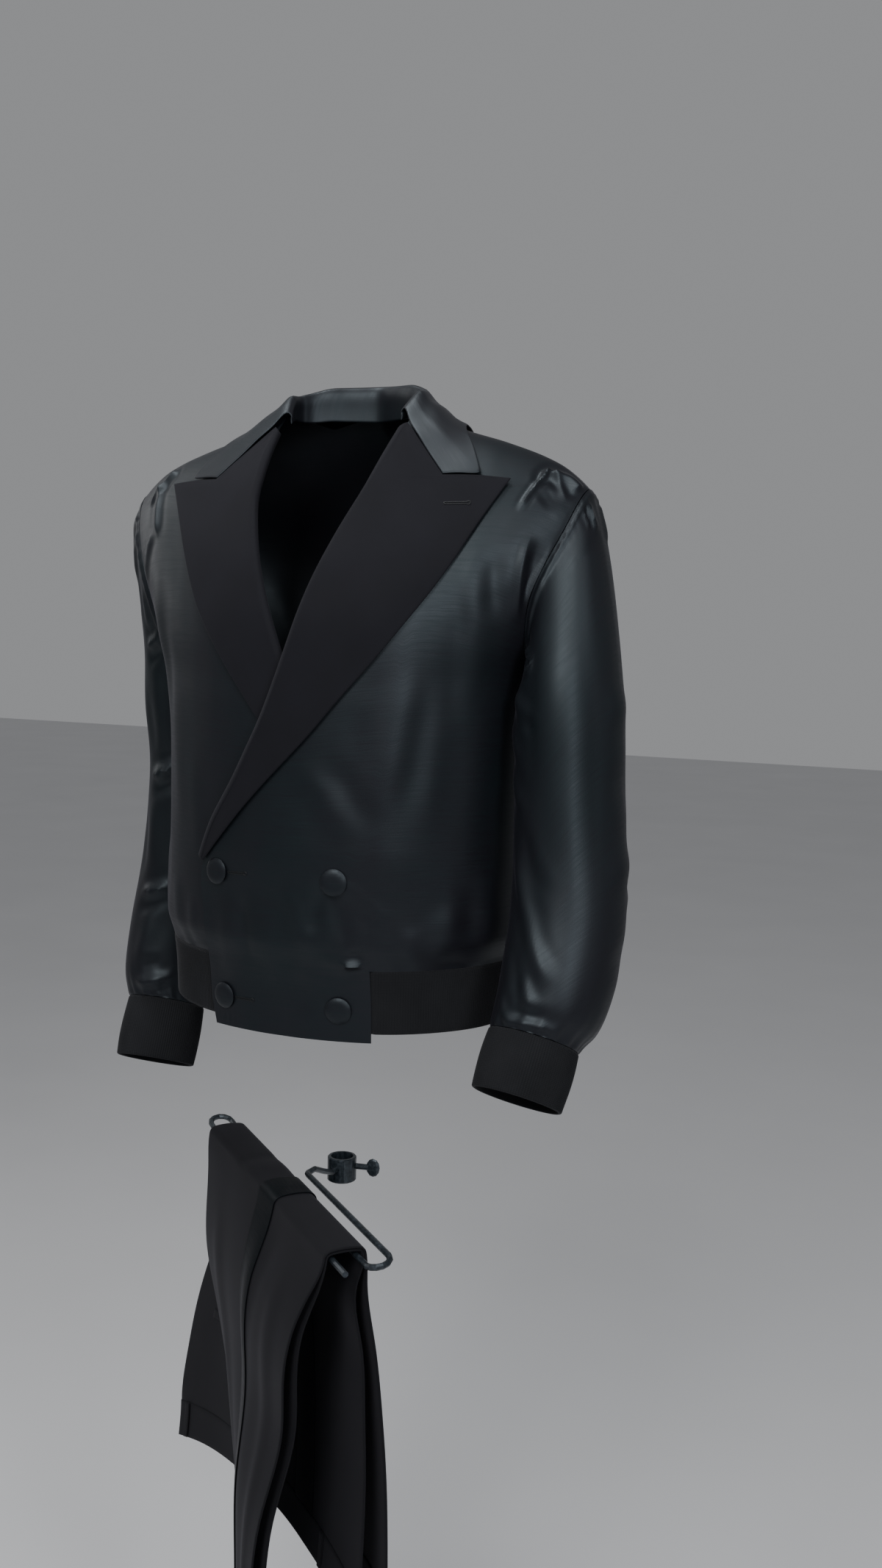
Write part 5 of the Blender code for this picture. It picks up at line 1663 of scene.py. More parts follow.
@dataclass
class Sleeve(SidedPanel):
    """A sleeve from the armhole seam to the cuff seam."""

    across_steps: int = 6
    along_steps: int = 9
    fold_radius: float = 0.052
    front_shares: tuple = (0.14, 0.28, 0.42, 0.55, 0.67, 0.78, 0.88, 0.95, 1.0)
    back_shares: tuple = (0.15, 0.3, 0.45, 0.6, 0.74, 0.86, 0.94, 0.98, 1.0)
    rows_left: tuple = (
        # x       y        z       across  along
        (0.251, -0.031, -0.3, 0.052, 0.056), (0.254, -0.034, -0.36, 0.0525, 0.056),
        (0.258, -0.039, -0.42, 0.0535, 0.056), (0.262, -0.048, -0.48, 0.055, 0.057),
        (0.262, -0.062, -0.53, 0.055, 0.057), (0.257, -0.08, -0.573, 0.0515, 0.053),
        (0.25, -0.094, -0.598, 0.044, 0.045))
    rows_right: tuple = (
        (-0.236, 0.05, -0.3, 0.041, 0.052), (-0.235, 0.06, -0.37, 0.042, 0.053),
        (-0.237, 0.063, -0.44, 0.045, 0.055), (-0.242, 0.061, -0.51, 0.048, 0.056),
        (-0.248, 0.052, -0.568, 0.049, 0.055), (-0.25, 0.04, -0.615, 0.047, 0.052),
        (-0.245, 0.029, -0.648, 0.0425, 0.0445))

    def loop(self) -> tuple[Grid, Grid]:
        """The armhole, from the shoulder round the front, with the body's normals.

        Returns:
            The points and their normals.
        """
        front = [1.0, *reversed(self.front_shares[:-1]), 0.0]
        shares = front + list(self.back_shares[:-1])
        points, normals = [], []
        for index, share in enumerate(shares):
            z = SHOULDER_Z + (UNDERARM_Z - SHOULDER_Z) * (1 - share)
            for _ in range(12):
                x = float(smooth(FORM.armhole, z)[0])
                z = UNDERARM_Z + share * (float(FORM.ridge(x)) - UNDERARM_Z)
            z = FORM.below(x, z, 1e-6)
            back = index >= len(front)
            point, normal = FORM.spot(x, z, back)
            if share in (0.0, 1.0):
                point[1] = normal[1] = 0.0
            points.append(point)
            normals.append(unit(normal))
        return self.turned(np.array(points), np.array(normals))

    def rings(self, cuff: CuffPlace) -> tuple[Grid, Grid]:
        """Outer points of the sleeve, ring by ring, and the armhole's normals.

        Args:
            cuff: where its cuff is.

        Returns:
            The rings and the normals.
        """
        side = 1.0 if self.left else -1.0
        loop, loop_normal = self.loop()
        count = len(loop)
        rows = self.rows_left if self.left else self.rows_right
        keyed = [(index, *row) for index, row in enumerate(rows)]
        table = smooth(keyed, np.linspace(0, len(rows) - 1, 9))
        axis = unit(cuff.low - cuff.top)
        centres = [row[:3] for row in table] + [cuff.top - axis * 2 * SEAM]
        sizes = [(row[3], row[4]) for row in table] + [(cuff.top_radius, cuff.top_radius)]
        turn = 2 * math.pi * np.arange(count) / count
        made = []
        for index, (centre, (across, along)) in enumerate(zip(centres, sizes)):
            tangent = unit(centres[min(index + 1, len(centres) - 1)]
                           - centres[max(index - 1, 0)])
            if index == 0:
                tangent = np.array((0.0, 0.0, -1.0))
            if index >= len(centres) - 2:
                tangent = axis
            outward, forward = section_frame(tangent, side)
            made.append(centre + np.outer(np.cos(turn), outward) * across
                        + np.outer(np.sin(turn), forward) * along)
        head = []
        upper = (1 + np.cos(turn)) / 2
        leave = unit(np.stack([side * (0.95 - 0.45 * upper), np.zeros(count),
                               -0.05 - 0.8 * upper], axis=-1))
        goal = made[0]
        span = np.linalg.norm(goal - loop, axis=1)[:, None]
        lead = goal + np.stack([-side * 0.09 * upper, np.zeros(count), np.ones(count)],
                               axis=-1) * 0.3 * span
        bent = loop + leave * (0.014 + 0.08 * span * upper[:, None])
        for t in (0.1, 0.24, 0.42, 0.62, 0.82):
            s = 1 - t
            head.append(loop * s**3 + bent * 3 * s**2 * t + lead * 3 * s * t**2 + goal * t**3)
        first = loop + np.array((side * 2 * SEAM, 0.0, 0.0))
        return np.array([first, *head, *made]), loop_normal

    def build(self, cuff: CuffPlace) -> Piece:
        """Make the sleeve.

        Args:
            cuff: where its cuff is.

        Returns:
            The piece.
        """
        rings, loop_normal = self.rings(cuff)
        fine = refine(refine(rings, self.across_steps, 1, closed=True), self.along_steps, 0)
        normal = grid_normals(fine, closed=True)
        centre = fine.mean(axis=1, keepdims=True)
        if (normal * (fine - centre)).sum(axis=2).mean() < 0:
            normal = -normal
        edge = unit(refine(loop_normal[None], self.across_steps, 1, closed=True))[0]
        blend = ease(0, 7, np.arange(len(fine)))[:, None, None]
        normal = unit(normal * blend + edge[None] * (1 - blend))
        count = fine.shape[1]
        turn = 2 * math.pi * np.arange(count) / count
        a = np.repeat((turn * self.fold_radius)[None], len(fine), axis=0)
        folds = SLEEVE_LEFT_FOLDS if self.left else SLEEVE_RIGHT_FOLDS
        raised = folds.raised(a, fine[..., 2], math.radians(1) * self.fold_radius,
                              2 * math.pi * self.fold_radius)
        down = running(fine, 0)
        up = running(fine[::-1], 0)[::-1]
        calm = ease(0.0, 0.014, down) * ease(0.0, 0.01, up)
        pucker = np.sin(a / 0.0016 + 4 * grain(a, down, 0.02, 0.2, 8.0)) * np.exp(-down / 0.007)
        pucker = pucker * (1 - np.exp(-down / 0.0012)) * 0.0005
        swell = 0.0016 * np.exp(-((down - 0.006) / 0.0035)**2)
        gather = np.sin(a / 0.003 + 3 * grain(a, up, 0.02, 0.2, 18.0)) * np.exp(-up / 0.014)
        gather = gather * (1 - np.exp(-up / 0.002)) * 0.0013
        outer = fine + normal * (raised * calm + pucker + swell + gather)[..., None]
        skin = unit(skin_of(outer, normal, closed=True) * blend + normal * (1 - blend) * 2)
        inner = outer - skin * CLOTH
        radial = unit(outer[-1] - outer[-1].mean(axis=0))
        inner[-1] = outer[-1] - radial * CLOTH
        return self.cloth(f"sleeve_{self.side}", "cloth", (outer, inner),
                          self.wardrobe.satin, "satin_cloth", (0.37, 0.56), "draped",
                          [f"front_{self.side}", "back"], area=0.175, closed=True)


@dataclass
class Knit(Panel):
    """Rib knit: what the cuffs and the band share."""

    pitch: float = 0.0024
    wall: float = 0.0024
    rib: float = 0.0008
    hem: float = 0.0011

    def ends(self, share: Grid, fade: float) -> Grid:
        """Ribs' share of their height: little at a piece's upper and lower end."""
        return np.clip(np.minimum(share, 1 - share) / fade, 0.15, 1.0)[:, None]

    def roll(self, share: Grid, width: float) -> Grid:
        """How far the wall thins in its folded lower edge."""
        t = 1 - np.clip((1 - share) / width, 0, 1)
        return self.hem * (1 - np.sqrt(np.clip(1 - t**2, 0.0, 1.0)))[:, None]


@dataclass
class Cuff(Knit, SidedPanel):
    """Rib-knit cuff."""

    rows: int = 26

    def build(self, place: CuffPlace) -> Piece:
        """Make the tube with its ribs and its folded lower edge.

        Args:
            place: where the cuff is.

        Returns:
            The piece.
        """
        axis = unit(place.low - place.top)
        outward, forward = section_frame(axis, 1.0 if self.left else -1.0)
        ribs = int(round(2 * math.pi * place.top_radius / self.pitch))
        turn = 2 * math.pi * np.arange(ribs * 4) / (ribs * 4)
        share = np.concatenate([(0.0, 0.006, 0.018), np.linspace(0.04, 0.96, self.rows),
                                (0.982, 0.994, 1.0)])
        centre = place.top + (place.low - place.top) * share[:, None]
        radius = place.top_radius + (place.low_radius - place.top_radius) * share
        radius = radius + 0.0016 * np.sin(math.pi * share)
        way = np.outer(np.cos(turn), outward) + np.outer(np.sin(turn), forward)
        soft = grain(np.repeat(turn[None], len(share), 0) * 0.042,
                     np.repeat(share[:, None], len(turn), 1) * 0.06, 0.03, 0.05, 3.3) * 0.0009
        wave = soft * np.sin(math.pi * share)[:, None]
        ridge = self.rib * (0.5 + 0.5 * np.cos(turn * ribs))[None] * self.ends(share, 0.02)
        plain, roll = radius[:, None] + wave, self.roll(share, 0.02)
        sides = tuple(centre[:, None] + way[None] * rise[..., None]
                      for rise in (plain + ridge - roll, plain - self.wall + roll))
        return self.cloth(f"cuff_{self.side}", "knit", sides, self.wardrobe.knit, "rib_knit",
                          (0.27, 0.065), "stretched", [f"sleeve_{self.side}"], closed=True,
                          sharp=SHARP_KNIT)


@dataclass
class HemBand(Knit):
    """Rib-knit band from one side of the tab round the back to the other side."""

    length: float = 0.83
    rows: int = 15
    tucked: float = 0.006
    level: float = -0.575

    def build(self) -> Piece:
        """Make the band.

        Returns:
            The piece.
        """
        start = float(FORM.angle(TAB_LEFT_X - self.tucked, self.level))
        stop = 2 * math.pi - float(FORM.angle(TAB_RIGHT_X + SEAM, self.level))
        turn = np.linspace(start, stop, int(self.length / self.pitch) * 4 + 1)
        front = (turn <= math.pi / 2) | (turn >= 3 * math.pi / 2)
        fold = np.where(turn <= math.pi / 2, turn, math.pi - turn)
        fold = np.where(turn > 3 * math.pi / 2, turn - 2 * math.pi, fold)
        share = np.concatenate([(0.0, 0.008, 0.022), np.linspace(0.05, 0.95, self.rows),
                                (0.978, 0.992, 1.0)])
        z = (BAND_TOP_Z - SEAM + (BAND_LOW_Z - BAND_TOP_Z + SEAM) * share)[:, None]
        z = np.repeat(z, len(turn), axis=1)
        angle = np.repeat(fold[None], len(share), axis=0)
        ahead, behind = FORM.point(angle, z, False), FORM.point(angle, z, True)
        pick = front[None, :, None]
        points = np.where(pick, ahead, behind)
        normal = np.where(pick, FORM.normal(angle, z, False), FORM.normal(angle, z, True))
        normal = unit(normal * np.array((1.0, 1.0, 0.0)))
        tucked = front[None] & (points[..., 0] > 0)
        lift = np.where(tucked, FORM.overlap(points[..., 0], z), 0.0)
        ridge = self.rib * (0.5 - 0.5 * np.cos(math.pi / 2 * np.arange(len(turn))))[None]
        length = running(points, 1)
        wave = grain(length, z, 0.05, 0.05, 40.0) * 0.001 * np.sin(math.pi * share)[:, None]
        wave = wave * ease(0.0, 0.02, np.minimum(length, length[:, -1:] - length))
        under = self.wall * (1 - ease(TAB_LEFT_X - 0.001, TAB_LEFT_X + 0.004, points[..., 0]))
        plain = lift - 0.8 * np.where(tucked, under, 0.0) + wave
        roll = self.roll(share, 0.022)
        sides = tuple(points + normal * rise[..., None] for rise in
                      (plain + ridge * self.ends(share, 0.03) - roll, plain - self.wall + roll))
        return self.cloth("hem_band", "knit", sides, self.wardrobe.knit, "rib_knit",
                          (0.84, 0.062), "stretched", ["front_left", "front_right", "back"],
                          sharp=SHARP_KNIT)


@dataclass
class Buttons(Panel):
    """Cloth-covered domed buttons and the keyhole buttonholes beside them."""

    radius: float = 0.013
    dome: float = 0.0042
    rim: float = 0.45  # the rim's share of the dome's height
    slit: float = 0.00085
    eye: float = 0.0017
    eye_room: float = 0.0024  # what the eye takes of the slit's length
    cord: Pair = (0.00062, 0.00052)
    spots: int = 60
    corners: int = 8

    def button(self, name: str, x: float, z: float, touch: Touch) -> Piece:
        """One covered button: a turned dome with the cloth drawn round its rim.

        Args:
            name: the solid that it replaces.
            x: distance from the centre line.
            z: height.
            touch: finds the front's outer side.

        Returns:
            The piece.
        """
        clear_selection()
        bpy.ops.mesh.primitive_uv_sphere_add(segments=48, ring_count=24, radius=1.0)
        item = bpy.context.active_object
        mesh = item.data
        start, way = FORM.on(x, z)
        seat = touch.at(start, way)
        turn = way.to_track_quat("Z", "Y").to_matrix()
        for vertex in mesh.vertices:
            co = vertex.co.copy()
            around = math.atan2(co.y, co.x)
            flat = math.hypot(co.x, co.y)
            if co.z >= 0:
                height = self.dome * (self.rim + (1 - self.rim) * (1 - flat**4.0))
                pull = 1.0
            else:
                height = self.dome * self.rim * max(1 + co.z * 3.0, 0.0) + 0.0003
                pull = 0.985 - 0.1 * abs(co.z)
            tuck = 0.00016 * math.sin(around * 17 + 2 * math.sin(around * 3)) * flat**6
            local = Vector((co.x * self.radius * pull, co.y * self.radius * pull,
                            height + tuck))
            vertex.co = seat + turn @ local
        layer = mesh.uv_layers.new(name="cloth")
        turned = turn.transposed()
        for loop in mesh.loops:
            local = turned @ (mesh.vertices[loop.vertex_index].co - seat)
            layer.data[loop.index].uv = (local.x, local.y)
        mesh.shade_smooth()
        item.name = mesh.name = f"{name}_cover"
        mesh.materials.append(self.wardrobe.satin)
        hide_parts(name)
        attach(item, ROOT)
        log.info("%s: %d faces", item.name, len(mesh.polygons))
        return item

    def keyhole(self, length: float) -> Iterable[Pair]:
        """Places round a slit of a length that ends in an eye.

        Args:
            length: the whole length.

        Returns:
            Distances along and across the slit.
        """
        half, straight = length / 2, length - self.eye_room
        first, last = 0.36, 0.64
        for index in range(self.spots):
            t = index / self.spots
            if t < first:
                yield -half + straight * t / first, self.slit
            elif t < last:
                turn = math.radians(150) - math.radians(300) * (t - first) / (last - first)
                yield half - 0.0006 + self.eye * math.cos(turn), self.eye * math.sin(turn)
            else:
                yield (half - self.eye_room - straight * (t - last) / (1 - last),
                       -self.slit)

    def hole(self, name: str, x: float, z: float, length: float, tilt: float,
             touch: Touch, slot: str) -> Piece:
        """A keyhole buttonhole: whipped edge as a cord of thread round its slit.

        Args:
            name: the piece's name.
            x: distance from the centre line.
            z: height.
            length: the whole length.
            tilt: turn of its length from level, in radians.
            touch: finds the cloth's outer side.
            slot: the record's material slot; not used.

        Returns:
            The piece.
        """
        lean_c, lean_s = math.cos(tilt), math.sin(tilt)
        spots, ways = [], []
        for u, v in self.keyhole(length):
            start, way = FORM.on(x + u * lean_c - v * lean_s, z + u * lean_s + v * lean_c)
            spots.append(touch.at(start, way))
            ways.append(way)
        built = bmesh.new()
        rings, count = [], self.corners
        for index, (spot, way) in enumerate(zip(spots, ways)):
            before, after = spots[index - 1], spots[(index + 1) % len(spots)]
            side = (after - before).normalized().cross(way).normalized()
            whip = 1.0 + 0.1 * math.sin(index * 2.4)
            turns = [2 * math.pi * k / count for k in range(count)]
            rings.append([built.verts.new(
                spot + (side * math.cos(a) * self.cord[0]
                        + way * (self.cord[1] * math.sin(a) + 0.00012)) * whip) for a in turns])
        for ring, following in zip(rings, rings[1:] + rings[:1]):
            for k in range(count):
                after = (k + 1) % count
                built.faces.new((ring[k], ring[after], following[after], following[k]))
        bmesh.ops.recalc_face_normals(built, faces=list(built.faces))
        mesh = bpy.data.meshes.new(name)
        built.to_mesh(mesh)
        built.free()
        item = finish_piece(name, mesh, self.wardrobe.thread, SHARP_KNIT)
        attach(item, ROOT)
        return item


# ---------------------------------------------------------------- trousers
@dataclass
class Trousers(Panel):
    """Both halves folded lengthwise over the hanger's two inner rods."""

    bar_z: float = -0.785
    rods: Pair = (0.7507, 0.6606)  # cosine and sine of their turn from the x axis
    rod_seat: float = 0.08
    rod_leg: float = 0.104
    leg_wall: float = 0.0022
    band_wall: float = 0.0024
    stripe_u: float = 0.09
    stripe_width: float = 0.046
    drop: float = 0.045
    steps: int = 7
    leg_rows: tuple = (
        # z       near_u  near_p  far_u    far_p   belly
        (-1.4, 0.185, 0.156, -0.033, 0.1, 0.006),
        (-1.28, 0.188, 0.154, -0.031, 0.1, 0.007),
        (-1.15, 0.195, 0.152, -0.034, 0.1005, 0.008),
        (-1.05, 0.205, 0.147, -0.064, 0.105, 0.009),
        (-0.96, 0.22, 0.132, -0.096, 0.113, 0.008),
        (-0.9, 0.23, 0.135, -0.104, 0.121, 0.005),
        (-0.85, 0.24, 0.134, -0.11, 0.118, 0.003),
        (-0.815, 0.245, 0.124, -0.114, 0.115, 0.001))
    seat_rows: tuple = (
        # z       near_u  near_p  far_u    far_p   belly
        (-0.8137, 0.249, 0.069, -0.118, 0.069, 0.0),
        (-0.867, 0.254, 0.0625, -0.142, 0.073, 0.004),
        (-0.9247, 0.258, 0.0565, -0.175, 0.079, 0.01),
        (-0.9925, 0.26, 0.0515, -0.208, 0.088, 0.014),
        (-1.0599, 0.258, 0.048, -0.228, 0.095, 0.015),
        (-1.1126, 0.255, 0.046, -0.233, 0.1, 0.014),
        (-1.1131, 0.255, 0.046, -0.233, 0.1, 0.014),
        (-1.1521, 0.252, 0.045, -0.232, 0.103, 0.012))

    @property
    def waist_row(self) -> int:
        """Coarse row at which the waistband starts."""
        return len(self.leg_rows) + 8 + len(self.seat_rows) - 2

    def bar(self, u: Grid, p: Grid, z: Grid) -> Grid:
        """World points from distances along and across the rods."""
        cosine, sine = self.rods
        return np.stack([u * cosine - p * sine, -u * sine - p * cosine, z + 0 * u], axis=-1)

    def rows(self, inner: bool) -> list[tuple]:
        """Rows of one half, from the leg's hem over the rods to the waist.

        Args:
            inner: True for the half that lies inside.

        Returns:
            Near and far end of each row, its belly and its part.
        """
        inset, top_inset = (0.0075, 0.0026) if inner else (0.0, 0.0)
        gap = 0.02 if inner else 0.0
        made = [(near_u, near_p - inset, z, far_u, far_p - inset, z, belly, "leg")
                for z, near_u, near_p, far_u, far_p, belly in self.leg_rows]
        reach = 0.0094 - top_inset
        for rod, sign, turns in ((self.rod_leg, 1, (0, 30, 60, 90)),
                                 (self.rod_seat, -1, (90, 60, 30, 0))):
            for degrees in turns:
                a = math.radians(degrees)
                p, z = rod + sign * reach * math.cos(a), self.bar_z + reach * math.sin(a)
                made.append((0.25, p, z, -0.116, p, z, 0.0, "top"))
        for z, near_u, near_p, far_u, far_p, belly in self.seat_rows:
            depth = min(max((self.bar_z - z) / 0.385, 0.0), 1.0)
            shift = inset + gap * depth
            made.append((near_u - 0.25 * shift, near_p + shift, z, far_u,
                         far_p + inset * 1.2, z - self.drop * depth, belly, "seat"))
        return made

    def surface(self, inner: bool) -> tuple[Grid, Grid]:
        """Fine outer points and normals of one half.

        Args:
            inner: True for the half that lies inside.

        Returns:
            The points and their normals.
        """
        grid = []
        t = np.linspace(0.0, 1.0, 11)
        for near_u, near_p, near_z, far_u, far_p, far_z, belly, kind in self.rows(inner):
            u = near_u + (far_u - near_u) * t
            p = near_p + (far_p - near_p) * t
            z = near_z + (far_z - near_z) * t
            bow = belly * np.sin(math.pi * t)
            if kind == "leg":
                p = p + bow
            elif kind == "seat":
                p = p + (far_p - near_p) * (t**2.4 - t) - bow * (1 - t) * 0.9
                z = near_z + (far_z - near_z) * t**4.0
            grid.append(self.bar(u, p, z))
        fine = refine(refine(np.array(grid), self.steps, 0), 9, 1)
        normal = grid_normals(fine)
        top = 11 * self.steps
        if normal[top, fine.shape[1] // 2, 2] < 0:
            normal = -normal
        return fine, normal

    def stripe_place(self, inner: bool) -> tuple[Grid, Grid]:
        """Centre and half width of the stripe at each row, as shares of the row.

        Args:
            inner: True for the half that lies inside.

        Returns:
            The centre and the half width.
        """
        ends = np.array([[(row[0], row[3], 0.0)] for row in self.rows(inner)])
        ends = refine(ends, self.steps, 0)[:, 0]
        width = ends[:, 0] - ends[:, 1]
        return (ends[:, 0] - self.stripe_u) / width, self.stripe_width / 2 / width

    def waves(self, points: Grid, inner: bool) -> Grid:
        """Height of the cloth's soft folds over the plain layer.

        Args:
            points: the plain layer's points.
            inner: True for the half that lies inside.

        Returns:
            The heights, in metres.
        """
        rows, columns = points.shape[:2]
        row = np.arange(rows)[:, None] / self.steps
        share = np.linspace(0.0, 1.0, columns)[None, :]
        leg = 1 - ease(7.5, 9.0, row)
        seat = ease(16.0, 17.5, row)
        a, b = share * 0.3, row * 0.05
        raised = 0.0011 * grain(a + 0 * b, b + 0 * a, 0.05, 0.3, 50.0 + 9 * inner)
        raised = raised * (leg + seat)
        for where, width, height, low, high in ((0.16, 0.045, 0.0022, 0.0, 7.0),
                                                (0.34, 0.05, -0.0018, 1.0, 8.0),
                                                (0.8, 0.06, 0.002, 0.0, 6.5)):
            drift = where + 0.03 * np.sin(row * 0.55 + where * 20)
            along = ease(low, low + 1.5, row) * (1 - ease(high - 1.5, high, row))
            raised = raised + height * np.exp(-((share - drift) / width)**2) * along
        centre, half = (each[:rows, None] for each in self.stripe_place(inner))
        near = 1 - ease(-1.0, 1.0, (share - centre) / half)
        step = (0.003 if inner else 0.0085) * near - 0.002 * (1 - near)
        raised = raised + step * (1 - ease(4.6, 7.4, row))
        top = ease(8.2, 9.6, row) * (1 - ease(15.0, 16.5, row))
        tuck = np.exp(-((share - 0.6) / 0.05)**2) - 0.8 * np.exp(-((share - 0.68) / 0.03)**2)
        return raised + 0.0006 * tuck * top

    def half(self, inner: bool) -> tuple[Grid, Grid]:
        """Fine points and normals of one half with its waves.

        Args:
            inner: True for the half that lies inside.

        Returns:
            The points and their normals.
        """
        points, normal = self.surface(inner)
        points = points + normal * self.waves(points, inner)[..., None]
        return points, skin_of(points, normal)

    def strip(self, node: str, stuff: str, points: Grid, normal: Grid,
              levels: Pair, look: Look, slot: str,
              flat: Pair, roll: float) -> Piece:
        """A strip that lies on a layer, between two levels over it.

        Args:
            node: the solid that it replaces.
            stuff: what follows the solid's name in the piece's own.
            points: places on the layer.
            normal: their normals.
            levels: heights of its outer and its inner side over them.
            look: its material.
            slot: the record's material slot.
            flat: width and length of the cut.
            roll: width of its rolled rim.

        Returns:
            The piece.
        """
        outward = 1.0 if levels[0] > levels[1] else -1.0
        sides = rounded(points + normal * levels[0], normal * outward,
                        abs(levels[0] - levels[1]), roll, roll)
        return self.cloth(node, stuff, sides, look, slot, flat, "laid",
                          ["trousers_left" if "left" in node else "trousers_right"])

    def build(self) -> None:
        """Make both halves, their waistbands and what is sewn on them."""
        split = self.waist_row * self.steps
        for inner, side in ((False, "left"), (True, "right")):
            points, normal = self.half(inner)
            self.body(side, points[:split + 1], normal[:split + 1])
            self.waistband(side, points[split:], normal[split:])
            self.stripe(side, inner, points, normal)
            self.loops(side, inner, points, normal)
            self.pocket(side, inner, points, normal)

    def body(self, side: str, points: Grid, normal: Grid) -> None:
        """Leg and seat of one half.

        Args:
            side: the wearer's side, as in the names.
            points: the half's outer points.
            normal: their normals.
        """
        points, normal = with_rims(points, normal, 0.0015, axes=(1,))
        self.cloth(f"trousers_{side}", "cloth",
                   rounded(points, normal, self.leg_wall, 0.0, 0.0015), self.wardrobe.wool,
                   "trouser_cloth", (0.32, 1.06), "hung", ["hanger_rod"])

    def waistband(self, side: str, points: Grid, normal: Grid) -> None:
        """Waistband of one half, a little thicker than its solid's wall.

        Args:
            side: the wearer's side, as in the names.
            points: the half's outer points.
            normal: their normals.
        """
        more = 0.0012
        points, normal = with_rims(points, normal, more)
        self.cloth(f"waistband_{side}", "cloth",
                   rounded(points + normal * more / 2, normal, self.band_wall + more, more, more),
                   self.wardrobe.wool, "trouser_cloth", (0.5, 0.045), "folded",
                   [f"trousers_{side}"])

    def stripe(self, side: str, inner: bool, points: Grid, normal: Grid) -> None:
        """Satin stripe over the side seam.

        Args:
            side: the wearer's side, as in the names.
            inner: True for the half that lies inside.
            points: the half's outer points.
            normal: their normals.
        """
        stop = self.waist_row * self.steps - self.steps // 2
        centre, half = (each[:stop, None] for each in self.stripe_place(inner))
        spots, ways = sample(points, normal, centre + np.linspace(-1, 1, 31)[None] * half)
        levels = ((-self.leg_wall - 0.0013, -self.leg_wall - 0.0006) if inner
                  else (0.0016, 0.0008))
        spots, ways = with_rims(spots, ways, 0.0006, axes=(1,))
        self.strip(f"side_stripe_{side}", "satin", spots, ways, levels, self.wardrobe.braid,
                   "satin_cloth", (0.046, 1.02), 0.0004)

    def loops(self, side: str, inner: bool, points: Grid, normal: Grid) -> None:
        """Belt loops on the waistband.

        Args:
            side: the wearer's side, as in the names.
            inner: True for the half that lies inside.
            points: the half's outer points.
            normal: their normals.
        """
        split = self.waist_row * self.steps
        half = 0.005 / float(np.linalg.norm(points[split, 0] - points[split, -1]))
        rows = np.linspace(split - 0.05 * self.steps, split + 0.98 * self.steps, 30)
        levels = ((-self.band_wall - 0.0028, -self.band_wall - 0.001) if inner
                  else (0.0029, 0.0011))
        for index, share in enumerate((0.22, 0.58, 0.955), start=1):
            across = np.repeat((share + np.linspace(-1, 1, 9) * half)[None], len(rows), axis=0)
            spots, ways = sample(rows_between(points, rows), rows_between(normal, rows), across)
            self.strip(f"belt_loop_{side}_{index}", "cloth", spots, ways, levels,
                       self.wardrobe.wool, "trouser_cloth", (0.0105, 0.045), 0.001)

    def pocket(self, side: str, inner: bool, points: Grid, normal: Grid) -> None:
        """Back pocket: its welt and its button.

        Args:
            side: the wearer's side, as in the names.
            inner: True for the half that lies inside.
            points: the half's outer points.
            normal: their normals.
        """
        welt = self.waist_row - 3.0
        rows = np.linspace(welt, welt + 0.16, 10) * self.steps
        share = np.repeat((0.62 + 0.27 * np.linspace(0, 1, 40))[None], len(rows), axis=0)
        spots, ways = sample(rows_between(points, rows), rows_between(normal, rows), share)
        levels = ((-self.leg_wall - 0.0016, -self.leg_wall - 0.0004) if inner
                  else (0.0016, 0.0004))
        self.strip(f"pocket_welt_{side}", "cloth", spots, ways, levels, self.wardrobe.wool,
                   "trouser_cloth", (0.13, 0.0115), 0.0006)
        row = np.array([(welt + 0.42) * self.steps])
        spot, way = sample(rows_between(points, row), rows_between(normal, row),
                           np.array([[0.755]]))
        level = -self.leg_wall - 0.0006 if inner else 0.0006
        self.small_button(side, Vector(spot[0, 0] + way[0, 0] * level),
                          Vector(way[0, 0] * (-1.0 if inner else 1.0)))

    def small_button(self, side: str, seat: Vector, way: Vector) -> Piece:
        """Trouser button with its raised rim and a sunken middle; its four holes are left out.

        Args:
            side: the wearer's side, as in the names.
            seat: where its back lies.
            way: its outward direction.

        Returns:
            The piece.
        """
        clear_selection()
        bpy.ops.mesh.primitive_cylinder_add(vertices=40, radius=0.007, depth=0.0024)
        item = bpy.context.active_object
        clear_selection()
        item.select_set(True)
        bpy.context.view_layer.objects.active = item
        bpy.ops.object.mode_set(mode="EDIT")
        bpy.ops.mesh.select_mode(type="FACE")
        bpy.ops.mesh.select_all(action="DESELECT")
        built = bmesh.from_edit_mesh(item.data)
        for face in built.faces:
            face.select_set(face.normal.z > 0.9)
        bmesh.update_edit_mesh(item.data)
        bpy.ops.mesh.inset(thickness=0.0014, depth=0.0)
        bpy.ops.mesh.inset(thickness=0.0006, depth=-0.0007)
        bpy.ops.object.mode_set(mode="OBJECT")
        bevel = item.modifiers.new("rim", "BEVEL")
        bevel.width, bevel.segments, bevel.limit_method = 0.00035, 3, "ANGLE"
        bpy.ops.object.modifier_apply(modifier=bevel.name)
        turn = way.to_track_quat("Z", "Y").to_matrix().to_4x4()
        item.data.transform(Matrix.Translation(seat + way * 0.0012) @ turn)
        item.data.shade_smooth()
        item.data.set_sharp_from_angle(angle=math.radians(50))
        item.name = item.data.name = f"pocket_button_{side}_horn"
        item.data.materials.clear()
        item.data.materials.append(self.wardrobe.thread)
        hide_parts(f"pocket_button_{side}")
        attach(item, ROOT)
        return item


# ---------------------------------------------------------------- hanger
@dataclass
class Hanger(Panel):
    """Bent rod, clamp collar and thumbscrew."""

    def build(self) -> None:
        """Dress the hanger's solids."""
        for node in ("hanger_rod", "hanger_socket", "thumbscrew"):
            item = frame["nodes"][node]
            item.data.materials.clear()
            item.data.materials.append(self.wardrobe.metal)


